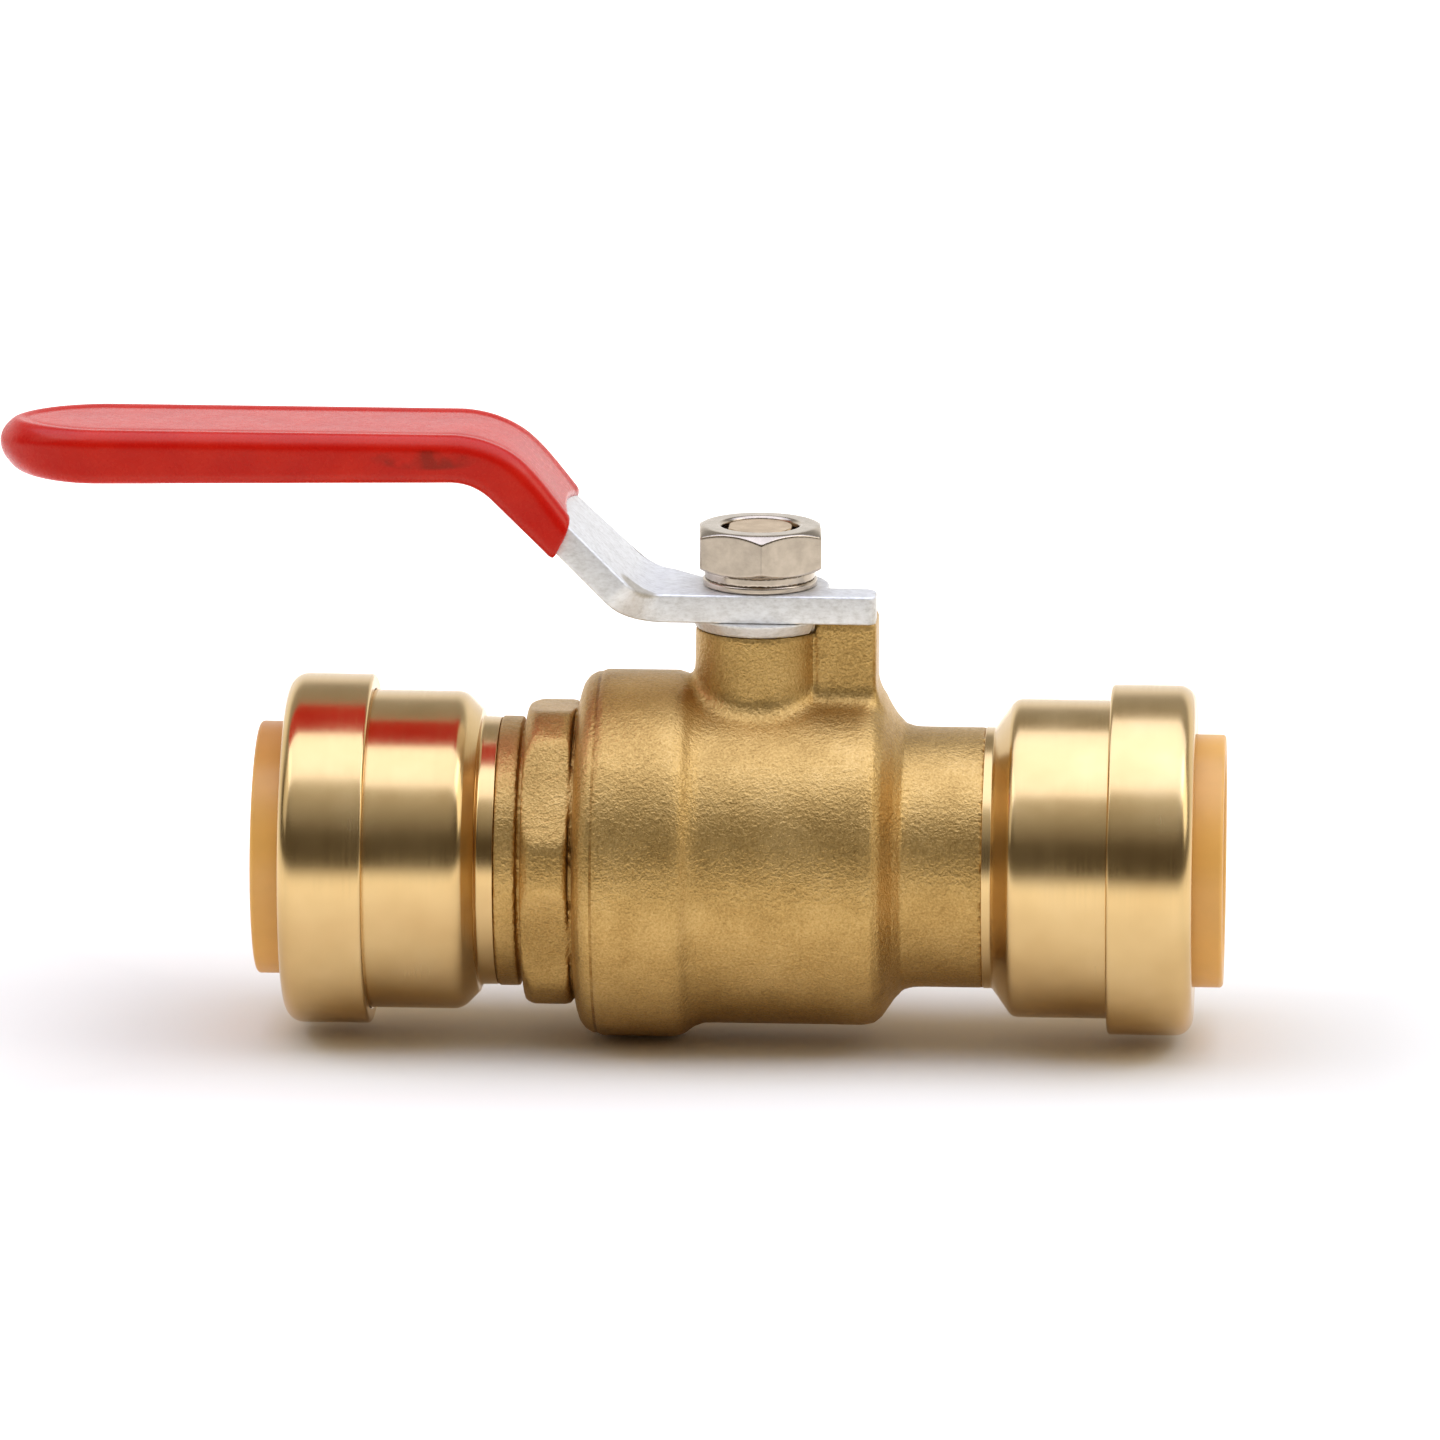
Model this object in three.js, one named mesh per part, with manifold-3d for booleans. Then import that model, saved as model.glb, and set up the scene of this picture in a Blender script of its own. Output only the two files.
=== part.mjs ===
// Push-to-connect brass ball valve with a lever handle, for 3/4 in copper-size tube.
// Units are millimetres. The origin is the centre of the ball, +X runs along the pipe from the
// inlet to the outlet, and +Z runs up the stem. The lever lies along the pipe, so the valve is open.
import * as THREE from 'three';
import { mergeVertices } from 'three/addons/utils/BufferGeometryUtils.js';
import Module from 'manifold-3d';

const wasm = await Module();
wasm.setup();

// Facets round the pipe-sized turned pieces, the inner rings and the small stem pieces.
const PIPE_FACETS = 32;
const RING_FACETS = 24;
const STEM_FACETS = 24;
const DISC_FACETS = 48;
const TORUS_SIDES = 8;
const ARC_STEPS = 4;
const FINE_ARC_STEPS = 10;
const DEGREE = Math.PI / 180;

// Clearances between touching flat faces, sliding round faces and bent faces.
const FACE_GAP = 0.05;
const SLIDE_GAP = 0.1;
const BENT_GAP = 0.15;

// How far a cutting solid runs past the face that it cuts.
const OVERRUN = 1;

// Push-fit socket: radii, and depths measured inward from the outer face of the retainer cap.
const SOCKET = {
  collarBore: 11.35,
  collarRadius: 13.3,
  collarProud: 3.1,
  collarDepth: 4.6,
  collarLipRadius: 14.4,
  collarLipStart: 1.9,
  collarLipEnd: 3.2,
  collarNoseRadius: 12.0,
  collarEdge: 0.35,
  capRadius: 18.4,
  capLength: 9.0,
  capCorner: 1.8,
  capEdge: 0.3,
  capMouth: 13.6,
  capMouthDepth: 1.8,
  capHollow: 14.7,
  capHollowDepth: 6.4,
  barrelRadius: 16.75,
  barrelStart: 7.0,
  grabOuter: 16.3,
  grabThickness: 0.5,
  toothRoot: 13.2,
  toothTip: 11.0,
  toothDepth: 8.6,
  toothEdge: 0.3,
  toothCount: 12,
  toothGap: 1.6,
  toothGapEnd: 12.8,
  chamberRadius: 14.4,
  chamberEnd: 14.3,
  spacerRim: 7.3,
  spacerRimWall: 0.6,
  spacerLip: 9.3,
  spacerEnd: 10.6,
  oRingDepth: 12.45,
  oRingRadius: 12.6,
  oRingSection: 1.65,
  guideBore: 11.3,
  tubeStop: 21.8,
};
const INLET_FACE = -49.6;
const OUTLET_FACE = 45.9;
const PORT_RADIUS = 9.0;

// Ball, its seats and the room round it.
const BALL_RADIUS = 14.2;
const BALL_STEPS = 14;
const BALL_SLOT_FLOOR = 10.8;
const BALL_SLOT_WIDTH = 3.8;
const SEAT = { inner: 9.1, outer: 13.6, near: 8.16, far: 12.8, ballGap: 0.2 };
const CAVITY = { radius: 15.0, left: -8.0, right: 8.0 };

// Forged body: stations along the pipe and radii.
const BODY = {
  left: -18.8,
  flangeRadius: 19.3,
  flangeCorner: 2.5,
  flangeEnd: -8.0,
  flangeBackCorner: 0.9,
  mainStart: -5.4,
  mainRadius: 17.8,
  mainEnd: 11.8,
  neckStart: 16.1,
  neckRadius: 13.7,
  neckEnd: 24.6,
  barrelStart: 27.4,
  threadBore: 15.6,
  easeAlong: 0.9,
  easeAcross: 0.4,
};
const BONNET = {
  radius: 6.7, top: 24.6, bore: 4.15, boreStart: 12.0, counterbore: 5.3, counterboreTop: 17.3,
};
const LUG = { inner: 5.9, outer: 12.4, halfWidth: 3.9, corner: 0.75, top: 25.8, root: 15.5 };

// Screwed end cap on the inlet side.
const END_CAP = {
  shoulderStart: -31.4,
  shoulderEnd: -28.9,
  neckRadius: 14.15,
  neckEnd: -24.8,
  grooveRadius: 13.5,
  hexStart: -24.3,
  hexEnd: -19.2,
  hexAcrossFlats: 31.0,
  hexTurnedRadius: 16.65,
  hexChamfer: 0.8,
  hexTurn: 24 * DEGREE,
  threadRadius: 15.4,
  noseEnd: -8.1,
};

// Stem: heights up +Z and radii.
const STEM = {
  tangBottom: 11.1,
  tangThickness: 3.2,
  tangLength: 9.0,
  shoulderBottom: 14.5,
  shoulderTop: 16.3,
  shoulderRadius: 5.0,
  shaftRadius: 4.0,
  grooveFloor: 2.9,
  grooveWidth: 1.5,
  grooveHeights: [19.0, 22.0],
  flatsBottom: 24.5,
  upperRadius: 3.95,
  flatDistance: 3.3,
  top: 35.3,
  topChamfer: 0.5,
};
const STEM_O_RING = { radius: 3.5, section: 0.55 };
const THRUST_WASHER = { inner: 4.2, outer: 5.2, bottom: 16.4, top: 17.2 };

// Stop disc under the handle. Its rim spans the sector, in degrees, that the body's lug leaves free.
const STOP_DISC = {
  bottom: 24.65,
  top: 26.05,
  rimTop: 7.4,
  rimBottom: 6.7,
  hub: 5.4,
  sectorStart: 125,
  sectorEnd: 325,
};

// Handle: one bent steel plate. Heights are of the middle of its thickness. The front is the -Y side.
const HANDLE = {
  thickness: 3.0,
  hubHeight: 27.6,
  lowerBendX: -12.4,
  lowerBendRadius: 6.5,
  upperBendX: -28.7,
  upperBendRadius: 8.5,
  gripHeight: 43.3,
  tailEnd: 12.4,
  tailBackEdge: -1.5,
  tailBackCorner: 1.5,
  tailFrontCorner: 0.9,
  hubRadius: 7.3,
  hubArcEnd: 150,
  backFlareX: -9.4,
  armBackX: -12.4,
  frontEdge: -6.2,
  frontFlareX: -10.0,
  armFrontX: -14.9,
  armHalfWidth: 9.0,
  gripStartX: -24.5,
  gripPlateHalfWidth: 7.6,
  tipX: -79.0,
  tipLength: 11.2,
  tipPower: 1.8,
};
const GRIP = { thickness: 5.4, halfWidth: 8.65, endX: -20.2, tipX: -79.8, edge: 0.45 };

// Fasteners on the stem.
const FLAT_WASHER = { inner: 4.2, outer: 6.0, bottom: 29.15, top: 29.9 };
const LOCK_WASHER = {
  inner: 4.2, outer: 5.8, bottom: 29.95, top: 30.85, split: 0.9, splitSlant: 30 * DEGREE,
};
const NUT = { acrossFlats: 12.7, bottom: 30.9, top: 35.5, bore: 4.1, chamfer: 0.55, turn: 3.7 * DEGREE };

const FINISH = {
  forgedBrass: new THREE.MeshStandardMaterial({ color: 0xb8924f, roughness: 0.55, metalness: 0.9 }),
  turnedBrass: new THREE.MeshStandardMaterial({ color: 0xd9b46a, roughness: 0.25, metalness: 1.0 }),
  chrome: new THREE.MeshStandardMaterial({ color: 0xd0d2d4, roughness: 0.1, metalness: 1.0 }),
  nickel: new THREE.MeshStandardMaterial({ color: 0xcfc4b2, roughness: 0.3, metalness: 1.0 }),
  zincSteel: new THREE.MeshStandardMaterial({ color: 0xc9cbcc, roughness: 0.4, metalness: 0.9 }),
  stainless: new THREE.MeshStandardMaterial({ color: 0xb9b9b4, roughness: 0.3, metalness: 1.0 }),
  redVinyl: new THREE.MeshStandardMaterial({ color: 0xc01f26, roughness: 0.35, metalness: 0.0 }),
  orangePlastic: new THREE.MeshStandardMaterial({ color: 0xf0b060, roughness: 0.5, metalness: 0.0 }),
  whitePlastic: new THREE.MeshStandardMaterial({ color: 0xe8e4da, roughness: 0.5, metalness: 0.0 }),
  ptfe: new THREE.MeshStandardMaterial({ color: 0xf4f3ee, roughness: 0.6, metalness: 0.0 }),
  rubber: new THREE.MeshStandardMaterial({ color: 0x202022, roughness: 0.7, metalness: 0.0 }),
};

// Six times the signed volume of an indexed mesh, negative when its faces point inward.
function signedVolume(position, triangles) {
  const corner = (i) => new THREE.Vector3().fromArray(position, 3 * i);
  let total = 0;
  for (let i = 0; i < triangles.length; i += 3) {
    const [a, b, c] = [corner(triangles[i]), corner(triangles[i + 1]), corner(triangles[i + 2])];
    total += a.dot(b.cross(c));
  }
  return total;
}

// A closed three.js geometry as a solid with its faces pointing out.
function solid(geometry) {
  geometry.deleteAttribute('normal');
  geometry.deleteAttribute('uv');
  const merged = mergeVertices(geometry, 1e-4);
  const position = merged.attributes.position.array;
  const index = merged.index.array;
  const triangles = [];
  for (let i = 0; i < index.length; i += 3) {
    const [a, b, c] = [index[i], index[i + 1], index[i + 2]];
    if (a !== b && b !== c && c !== a) triangles.push(a, b, c);
  }
  if (signedVolume(position, triangles) < 0) triangles.reverse();
  return new wasm.Manifold(new wasm.Mesh({
    numProp: 3,
    vertProperties: new Float32Array(position),
    triVerts: new Uint32Array(triangles),
  }));
}

// A solid as a named piece of the valve.
function piece(name, body, material) {
  const mesh = body.getMesh();
  const geometry = new THREE.BufferGeometry();
  geometry.setAttribute('position', new THREE.BufferAttribute(mesh.vertProperties, 3));
  geometry.setIndex(new THREE.BufferAttribute(mesh.triVerts, 1));
  geometry.computeVertexNormals();
  const part = new THREE.Mesh(geometry, material);
  part.name = name;
  return part;
}

// Points along an arc, from angle start to angle end in degrees.
function arc(x, y, radius, start, end, steps = ARC_STEPS) {
  return Array.from({ length: steps + 1 }, (_, i) => {
    const angle = (start + (end - start) * (i / steps)) * DEGREE;
    return [x + radius * Math.cos(angle), y + radius * Math.sin(angle)];
  });
}

// The section of a ring of round wire, round a point at a station and a radius.
function wireSection(station, radius, wireRadius, sides) {
  return arc(station, radius, wireRadius, 0, 360 - 360 / sides, sides - 1);
}

// Turns an outline of [station, radius] points round the Z axis.
function turnedUp(outline, facets = STEM_FACETS) {
  const points = outline.map(([z, r]) => new THREE.Vector2(r, z));
  const geometry = new THREE.LatheGeometry(points, facets);
  geometry.rotateX(Math.PI / 2);
  return solid(geometry);
}

// Turns an outline of [station, radius] points round the pipe axis.
function turnedAlong(outline, facets = PIPE_FACETS) {
  const points = outline.map(([x, r]) => new THREE.Vector2(r, x));
  const geometry = new THREE.LatheGeometry(points, facets);
  geometry.rotateZ(-Math.PI / 2);
  return solid(geometry);
}

// Repeats the first point of an outline at its end, so that it closes on itself.
const closed = (outline) => [...outline, outline[0]];

// Turns an outline of [depth, radius] points into a ring of the socket whose cap face is at faceX.
// Depth runs inward, which is +X at the inlet (inward = 1) and -X at the outlet (inward = -1).
function socketRing(socket, outline, facets = PIPE_FACETS) {
  const placed = outline.map(([depth, r]) => [socket.faceX + socket.inward * depth, r]);
  return turnedAlong(closed(placed), facets);
}

function shapeOf(points) {
  return new THREE.Shape(points.map(([x, y]) => new THREE.Vector2(x, y)));
}

// A plan outline in X and Y, standing from bottom up to top.
function raised(points, bottom, top) {
  const geometry = new THREE.ExtrudeGeometry(shapeOf(points), { depth: top - bottom, bevelEnabled: false });
  geometry.translate(0, 0, bottom);
  return solid(geometry);
}

// A side outline in X and Z, as wide as halfWidth each way along Y.
function acrossHandle(points, halfWidth) {
  const depth = 2 * halfWidth;
  const geometry = new THREE.ExtrudeGeometry(shapeOf(points), { depth, bevelEnabled: false });
  geometry.rotateX(Math.PI / 2);
  geometry.translate(0, halfWidth, 0);
  return solid(geometry);
}

function box(x0, x1, y0, y1, z0, z1) {
  const geometry = new THREE.BoxGeometry(x1 - x0, y1 - y0, z1 - z0);
  geometry.translate((x0 + x1) / 2, (y0 + y1) / 2, (z0 + z1) / 2);
  return solid(geometry);
}

function hexagon(acrossFlats, turn) {
  const radius = acrossFlats / 2 / Math.cos(30 * DEGREE);
  return Array.from({ length: 6 }, (_, i) => {
    const angle = turn + i * 60 * DEGREE;
    return [radius * Math.cos(angle), radius * Math.sin(angle)];
  });
}

// The stem's section above the bonnet: a circle with two flats facing along the pipe.
function doubleD(radius, flatDistance) {
  const half = Math.acos(flatDistance / radius) / DEGREE;
  return [
    ...arc(0, 0, radius, half, 180 - half, FINE_ARC_STEPS),
    ...arc(0, 0, radius, 180 + half, 360 - half, FINE_ARC_STEPS),
  ];
}

// A bar of even thickness along a line of corner points, each inner corner bent to its radius.
function bentBar(corners, radii, thickness) {
  const line = [{ at: corners[0], along: corners[1].clone().sub(corners[0]).normalize() }];
  for (let i = 1; i < corners.length - 1; i += 1) {
    const before = corners[i].clone().sub(corners[i - 1]).normalize();
    const after = corners[i + 1].clone().sub(corners[i]).normalize();
    const turn = Math.atan2(before.cross(after), before.dot(after));
    const setback = radii[i - 1] * Math.tan(Math.abs(turn) / 2);
    const side = new THREE.Vector2(-before.y, before.x).multiplyScalar(Math.sign(turn) * radii[i - 1]);
    const centre = corners[i].clone().addScaledVector(before, -setback).add(side);
    for (let step = 0; step <= ARC_STEPS; step += 1) {
      const angle = turn * (step / ARC_STEPS);
      const spoke = side.clone().negate().rotateAround(new THREE.Vector2(), angle);
      const along = before.clone().rotateAround(new THREE.Vector2(), angle);
      line.push({ at: centre.clone().add(spoke), along });
    }
  }
  const last = corners.length - 1;
  line.push({ at: corners[last], along: corners[last].clone().sub(corners[last - 1]).normalize() });
  const offset = ({ at, along }, distance) => [at.x - along.y * distance, at.y + along.x * distance];
  const upper = line.map((point) => offset(point, thickness / 2));
  const lower = line.map((point) => offset(point, -thickness / 2)).reverse();
  return [...upper, ...lower];
}

// ---- Housing ----

const valveInlet = { faceX: INLET_FACE, inward: 1 };
const valveOutlet = { faceX: OUTLET_FACE, inward: -1 };

// The stepped hole that a tube enters, as a solid to cut away. It runs on to the seat pocket.
function socketHole(socket) {
  const reach = (depth) => socket.faceX + socket.inward * depth;
  const seatSide = -socket.inward;
  const outline = [
    [reach(SOCKET.barrelStart - OVERRUN), 0],
    [reach(SOCKET.barrelStart - OVERRUN), SOCKET.chamberRadius],
    [reach(SOCKET.chamberEnd), SOCKET.chamberRadius],
    [reach(SOCKET.chamberEnd), SOCKET.guideBore],
    [reach(SOCKET.tubeStop), SOCKET.guideBore],
    [reach(SOCKET.tubeStop), PORT_RADIUS],
    [seatSide * (SEAT.far + SLIDE_GAP), PORT_RADIUS],
    [seatSide * (SEAT.far + SLIDE_GAP), SEAT.outer + SLIDE_GAP],
    [seatSide * (CAVITY.right - OVERRUN), SEAT.outer + SLIDE_GAP],
    [seatSide * (CAVITY.right - OVERRUN), 0],
  ];
  return turnedAlong(outline);
}

function stopLug() {
  const { inner, outer, halfWidth: half, corner } = LUG;
  const plan = [
    ...arc(inner + corner, half - corner, corner, 180, 90, 2),
    ...arc(outer - corner, half - corner, corner, 90, 0, 2),
    ...arc(outer - corner, corner - half, corner, 0, -90, 2),
    ...arc(inner + corner, corner - half, corner, -90, -180, 2),
  ];
  return raised(plan, LUG.root, LUG.top);
}

function valveBody() {
  const barrelEnd = OUTLET_FACE - SOCKET.barrelStart;
  const { left, flangeRadius, flangeCorner, flangeBackCorner, easeAlong, easeAcross } = BODY;
  const forging = turnedAlong([
    [left, 0],
    ...arc(left + flangeCorner, flangeRadius - flangeCorner, flangeCorner, 180, 90),
    ...arc(BODY.flangeEnd, flangeRadius - flangeBackCorner, flangeBackCorner, 90, 20, 2),
    [BODY.mainStart - easeAlong, BODY.mainRadius + easeAcross],
    [BODY.mainStart, BODY.mainRadius],
    [BODY.mainEnd, BODY.mainRadius],
    [BODY.mainEnd + easeAlong, BODY.mainRadius - easeAcross],
    [BODY.neckStart - easeAlong, BODY.neckRadius + easeAcross],
    [BODY.neckStart, BODY.neckRadius],
    [BODY.neckEnd, BODY.neckRadius],
    [BODY.barrelStart - easeAlong, SOCKET.barrelRadius - easeAcross],
    [BODY.barrelStart, SOCKET.barrelRadius],
    [barrelEnd, SOCKET.barrelRadius],
    [barrelEnd, 0],
  ]);
  const bonnet = turnedUp([
    [LUG.root, 0],
    [LUG.root, BONNET.radius],
    [BONNET.top, BONNET.radius],
    [BONNET.top, 0],
  ]);
  const cavity = turnedAlong([
    [left - OVERRUN, 0],
    [left - OVERRUN, BODY.threadBore],
    [CAVITY.left, BODY.threadBore],
    [CAVITY.left, CAVITY.radius],
    [CAVITY.right, CAVITY.radius],
    [CAVITY.right, 0],
  ]);
  const stemBore = turnedUp([
    [BONNET.boreStart, 0],
    [BONNET.boreStart, BONNET.counterbore],
    [BONNET.counterboreTop, BONNET.counterbore],
    [BONNET.counterboreTop, BONNET.bore],
    [BONNET.top + OVERRUN, BONNET.bore],
    [BONNET.top + OVERRUN, 0],
  ]);
  const metal = forging.add(bonnet).add(stopLug());
  return metal.subtract(cavity).subtract(socketHole(valveOutlet)).subtract(stemBore);
}

// A hexagon with its corners turned round and chamfered, standing on the pipe axis.
function endCapHex() {
  const { hexStart: start, hexEnd: end, hexTurnedRadius: round, hexChamfer: chamfer } = END_CAP;
  const outline = shapeOf(hexagon(END_CAP.hexAcrossFlats, END_CAP.hexTurn));
  const geometry = new THREE.ExtrudeGeometry(outline, { depth: end - start, bevelEnabled: false });
  geometry.rotateY(Math.PI / 2);
  geometry.translate(start, 0, 0);
  const turned = turnedAlong([
    [start, 0],
    [start, round - chamfer],
    [start + chamfer, round],
    [end - chamfer / 2, round],
    [end, round - chamfer / 2],
    [end, 0],
  ]);
  return solid(geometry).intersect(turned);
}

function endCap() {
  const barrelEnd = INLET_FACE + SOCKET.barrelStart;
  const shoulder = END_CAP.shoulderEnd - END_CAP.shoulderStart;
  const turned = turnedAlong([
    [barrelEnd, 0],
    [barrelEnd, SOCKET.barrelRadius],
    ...arc(END_CAP.shoulderStart, SOCKET.barrelRadius - shoulder, shoulder, 90, 0),
    [END_CAP.shoulderEnd, END_CAP.neckRadius],
    [END_CAP.neckEnd, END_CAP.neckRadius],
    [END_CAP.neckEnd, END_CAP.grooveRadius],
    [END_CAP.hexStart + OVERRUN, END_CAP.grooveRadius],
    [END_CAP.hexStart + OVERRUN, END_CAP.threadRadius],
    [END_CAP.noseEnd, END_CAP.threadRadius],
    [END_CAP.noseEnd, 0],
  ]);
  return turned.add(endCapHex()).subtract(socketHole(valveInlet));
}

function retainerCap(socket) {
  const { capRadius: radius, capCorner: corner, capLength: length } = SOCKET;
  return socketRing(socket, [
    [0, SOCKET.capMouth],
    ...arc(corner, radius - corner, corner, 180, 90),
    [length - SOCKET.capEdge, radius],
    [length, radius - SOCKET.capEdge],
    [length, SOCKET.barrelRadius + 2 * SLIDE_GAP],
    [SOCKET.capHollowDepth, SOCKET.barrelRadius + 2 * SLIDE_GAP],
    [SOCKET.capHollowDepth, SOCKET.capHollow],
    [SOCKET.capMouthDepth, SOCKET.capHollow],
    [SOCKET.capMouthDepth, SOCKET.capMouth],
  ]);
}

function releaseCollar(socket) {
  const outer = -SOCKET.collarProud;
  const edge = SOCKET.collarEdge;
  return socketRing(socket, [
    [outer, SOCKET.collarBore + edge],
    [outer, SOCKET.collarRadius - edge],
    [outer + edge, SOCKET.collarRadius],
    [SOCKET.collarLipStart, SOCKET.collarRadius],
    [SOCKET.collarLipStart, SOCKET.collarLipRadius],
    [SOCKET.collarLipEnd, SOCKET.collarLipRadius],
    [SOCKET.collarLipEnd, SOCKET.collarRadius - edge],
    [SOCKET.collarDepth, SOCKET.collarNoseRadius],
    [SOCKET.collarDepth, SOCKET.collarBore],
    [outer + edge, SOCKET.collarBore],
  ]);
}

// A flat steel ring with inward teeth that lean away from the socket's mouth and grip the tube.
function grabRing(socket) {
  const near = SOCKET.capHollowDepth + FACE_GAP;
  const far = near + SOCKET.grabThickness;
  const ring = socketRing(socket, [
    [near, SOCKET.grabOuter],
    [far, SOCKET.grabOuter],
    [far, SOCKET.toothRoot],
    [SOCKET.toothDepth, SOCKET.toothTip + SOCKET.toothEdge],
    [SOCKET.toothDepth - SOCKET.toothEdge, SOCKET.toothTip],
    [near, SOCKET.toothRoot - SOCKET.toothEdge],
  ], RING_FACETS);
  const middle = socket.faceX + socket.inward * SOCKET.toothDepth;
  const cutter = new THREE.BoxGeometry(4 * OVERRUN, SOCKET.toothGap, SOCKET.toothGapEnd);
  cutter.translate(middle, 0, SOCKET.toothGapEnd / 2);
  const slots = Array.from({ length: SOCKET.toothCount }, (_, i) => {
    const slot = cutter.clone();
    slot.rotateX((2 * Math.PI * i) / SOCKET.toothCount);
    return solid(slot);
  });
  return slots.reduce((toothed, slot) => toothed.subtract(slot), ring);
}

function socketORing(socket) {
  const section = wireSection(SOCKET.oRingDepth, SOCKET.oRingRadius, SOCKET.oRingSection, TORUS_SIDES);
  return socketRing(socket, section, RING_FACETS);
}

function spacerRing(socket) {
  return socketRing(socket, [
    [SOCKET.spacerRim, SOCKET.chamberRadius - SLIDE_GAP],
    [SOCKET.spacerEnd, SOCKET.chamberRadius - SLIDE_GAP],
    [SOCKET.spacerEnd, SOCKET.collarBore],
    [SOCKET.spacerLip, SOCKET.collarBore],
    [SOCKET.spacerRim, SOCKET.chamberRadius - SOCKET.spacerRimWall],
  ], RING_FACETS);
}

// ---- Ball and seats ----

// A seat ring whose 45 degree face lies ballGap off the ball.
function seatRing(side) {
  const coneSum = (BALL_RADIUS + SEAT.ballGap) * Math.SQRT2;
  return turnedAlong(closed([
    [side * SEAT.near, coneSum - SEAT.near],
    [side * SEAT.near, SEAT.outer],
    [side * SEAT.far, SEAT.outer],
    [side * SEAT.far, SEAT.inner],
    [side * (coneSum - SEAT.inner), SEAT.inner],
  ]), RING_FACETS);
}

// The slot runs across the port, so that pressure can push the shut ball onto its seat.
function portedBall() {
  const edge = Math.asin(PORT_RADIUS / BALL_RADIUS) / DEGREE;
  const round = turnedAlong(closed(arc(0, 0, BALL_RADIUS, edge, 180 - edge, BALL_STEPS)), RING_FACETS);
  const half = BALL_SLOT_WIDTH / 2;
  const slot = box(-half, half, -BALL_RADIUS, BALL_RADIUS, BALL_SLOT_FLOOR, BALL_RADIUS + OVERRUN);
  return round.subtract(slot);
}

// ---- Stem ----

function valveStem() {
  const { shaftRadius, grooveFloor, grooveWidth } = STEM;
  const grooves = STEM.grooveHeights.flatMap((height) => [
    [height - grooveWidth / 2, shaftRadius],
    [height - grooveWidth / 2, grooveFloor],
    [height + grooveWidth / 2, grooveFloor],
    [height + grooveWidth / 2, shaftRadius],
  ]);
  const shaft = turnedUp([
    [STEM.shoulderBottom, 0],
    [STEM.shoulderBottom, STEM.shoulderRadius],
    [STEM.shoulderTop, STEM.shoulderRadius],
    [STEM.shoulderTop, shaftRadius],
    ...grooves,
    [STEM.flatsBottom, shaftRadius],
    [STEM.flatsBottom, 0],
  ]);
  const tang = box(
    -STEM.tangThickness / 2, STEM.tangThickness / 2,
    -STEM.tangLength / 2, STEM.tangLength / 2,
    STEM.tangBottom, STEM.shoulderBottom + SLIDE_GAP,
  );
  const upper = raised(doubleD(STEM.upperRadius, STEM.flatDistance), STEM.flatsBottom - OVERRUN, STEM.top);
  const chamfered = turnedUp([
    [STEM.shoulderTop, 0],
    [STEM.shoulderTop, STEM.upperRadius + OVERRUN],
    [STEM.top - STEM.topChamfer - OVERRUN, STEM.upperRadius + OVERRUN],
    [STEM.top, STEM.upperRadius - STEM.topChamfer],
    [STEM.top, 0],
  ]);
  return shaft.add(tang).add(upper.intersect(chamfered));
}

function stemORing(height) {
  return turnedUp(closed(wireSection(height, STEM_O_RING.radius, STEM_O_RING.section, TORUS_SIDES)));
}

const flatRing = ({ inner, outer, bottom, top }) => turnedUp(closed([
  [bottom, inner],
  [bottom, outer],
  [top, outer],
  [top, inner],
]));

// The hole of the pieces that the stem's flats turn.
function drivenHole(bottom, top) {
  const section = doubleD(STEM.upperRadius + SLIDE_GAP, STEM.flatDistance + SLIDE_GAP);
  return raised(section, bottom - OVERRUN, top + OVERRUN);
}

// A dished disc, cut back to its hub over the sector where the body's lug stands.
function stopDisc() {
  const { bottom, top, rimBottom, rimTop, hub: hubRadius, sectorStart, sectorEnd } = STOP_DISC;
  const rim = turnedUp([[bottom, 0], [bottom, rimBottom], [top, rimTop], [top, 0]], DISC_FACETS);
  const fan = [[0, 0], ...arc(0, 0, 2 * rimTop, sectorStart, sectorEnd, FINE_ARC_STEPS)];
  const sector = raised(fan, bottom - OVERRUN, top + OVERRUN);
  const hub = turnedUp([[bottom, 0], [bottom, hubRadius], [top, hubRadius], [top, 0]]);
  return rim.intersect(sector).add(hub).subtract(drivenHole(bottom, top));
}

// ---- Handle ----

// Corners of the handle's middle line, from startX on the hub or on the slope out to endX on the grip.
function handleLine(startX, endX) {
  const { hubHeight, lowerBendX, upperBendX, gripHeight } = HANDLE;
  const slope = (gripHeight - hubHeight) / (upperBendX - lowerBendX);
  const bends = [new THREE.Vector2(upperBendX, gripHeight), new THREE.Vector2(endX, gripHeight)];
  if (startX > lowerBendX) {
    return [new THREE.Vector2(startX, hubHeight), new THREE.Vector2(lowerBendX, hubHeight), ...bends];
  }
  return [new THREE.Vector2(startX, hubHeight + slope * (startX - lowerBendX)), ...bends];
}

// The handle's end seen from above, a rounded point, from the +Y side round to the -Y side.
function tipOutline(tipX, halfWidth) {
  const power = 2 / HANDLE.tipPower;
  return Array.from({ length: FINE_ARC_STEPS + 1 }, (_, i) => {
    const angle = Math.PI * (0.5 - i / FINE_ARC_STEPS);
    const back = 1 - Math.max(Math.cos(angle), 0) ** power;
    const across = Math.sign(Math.sin(angle)) * Math.abs(Math.sin(angle)) ** power;
    return [tipX + HANDLE.tipLength * back, halfWidth * across];
  });
}

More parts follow.
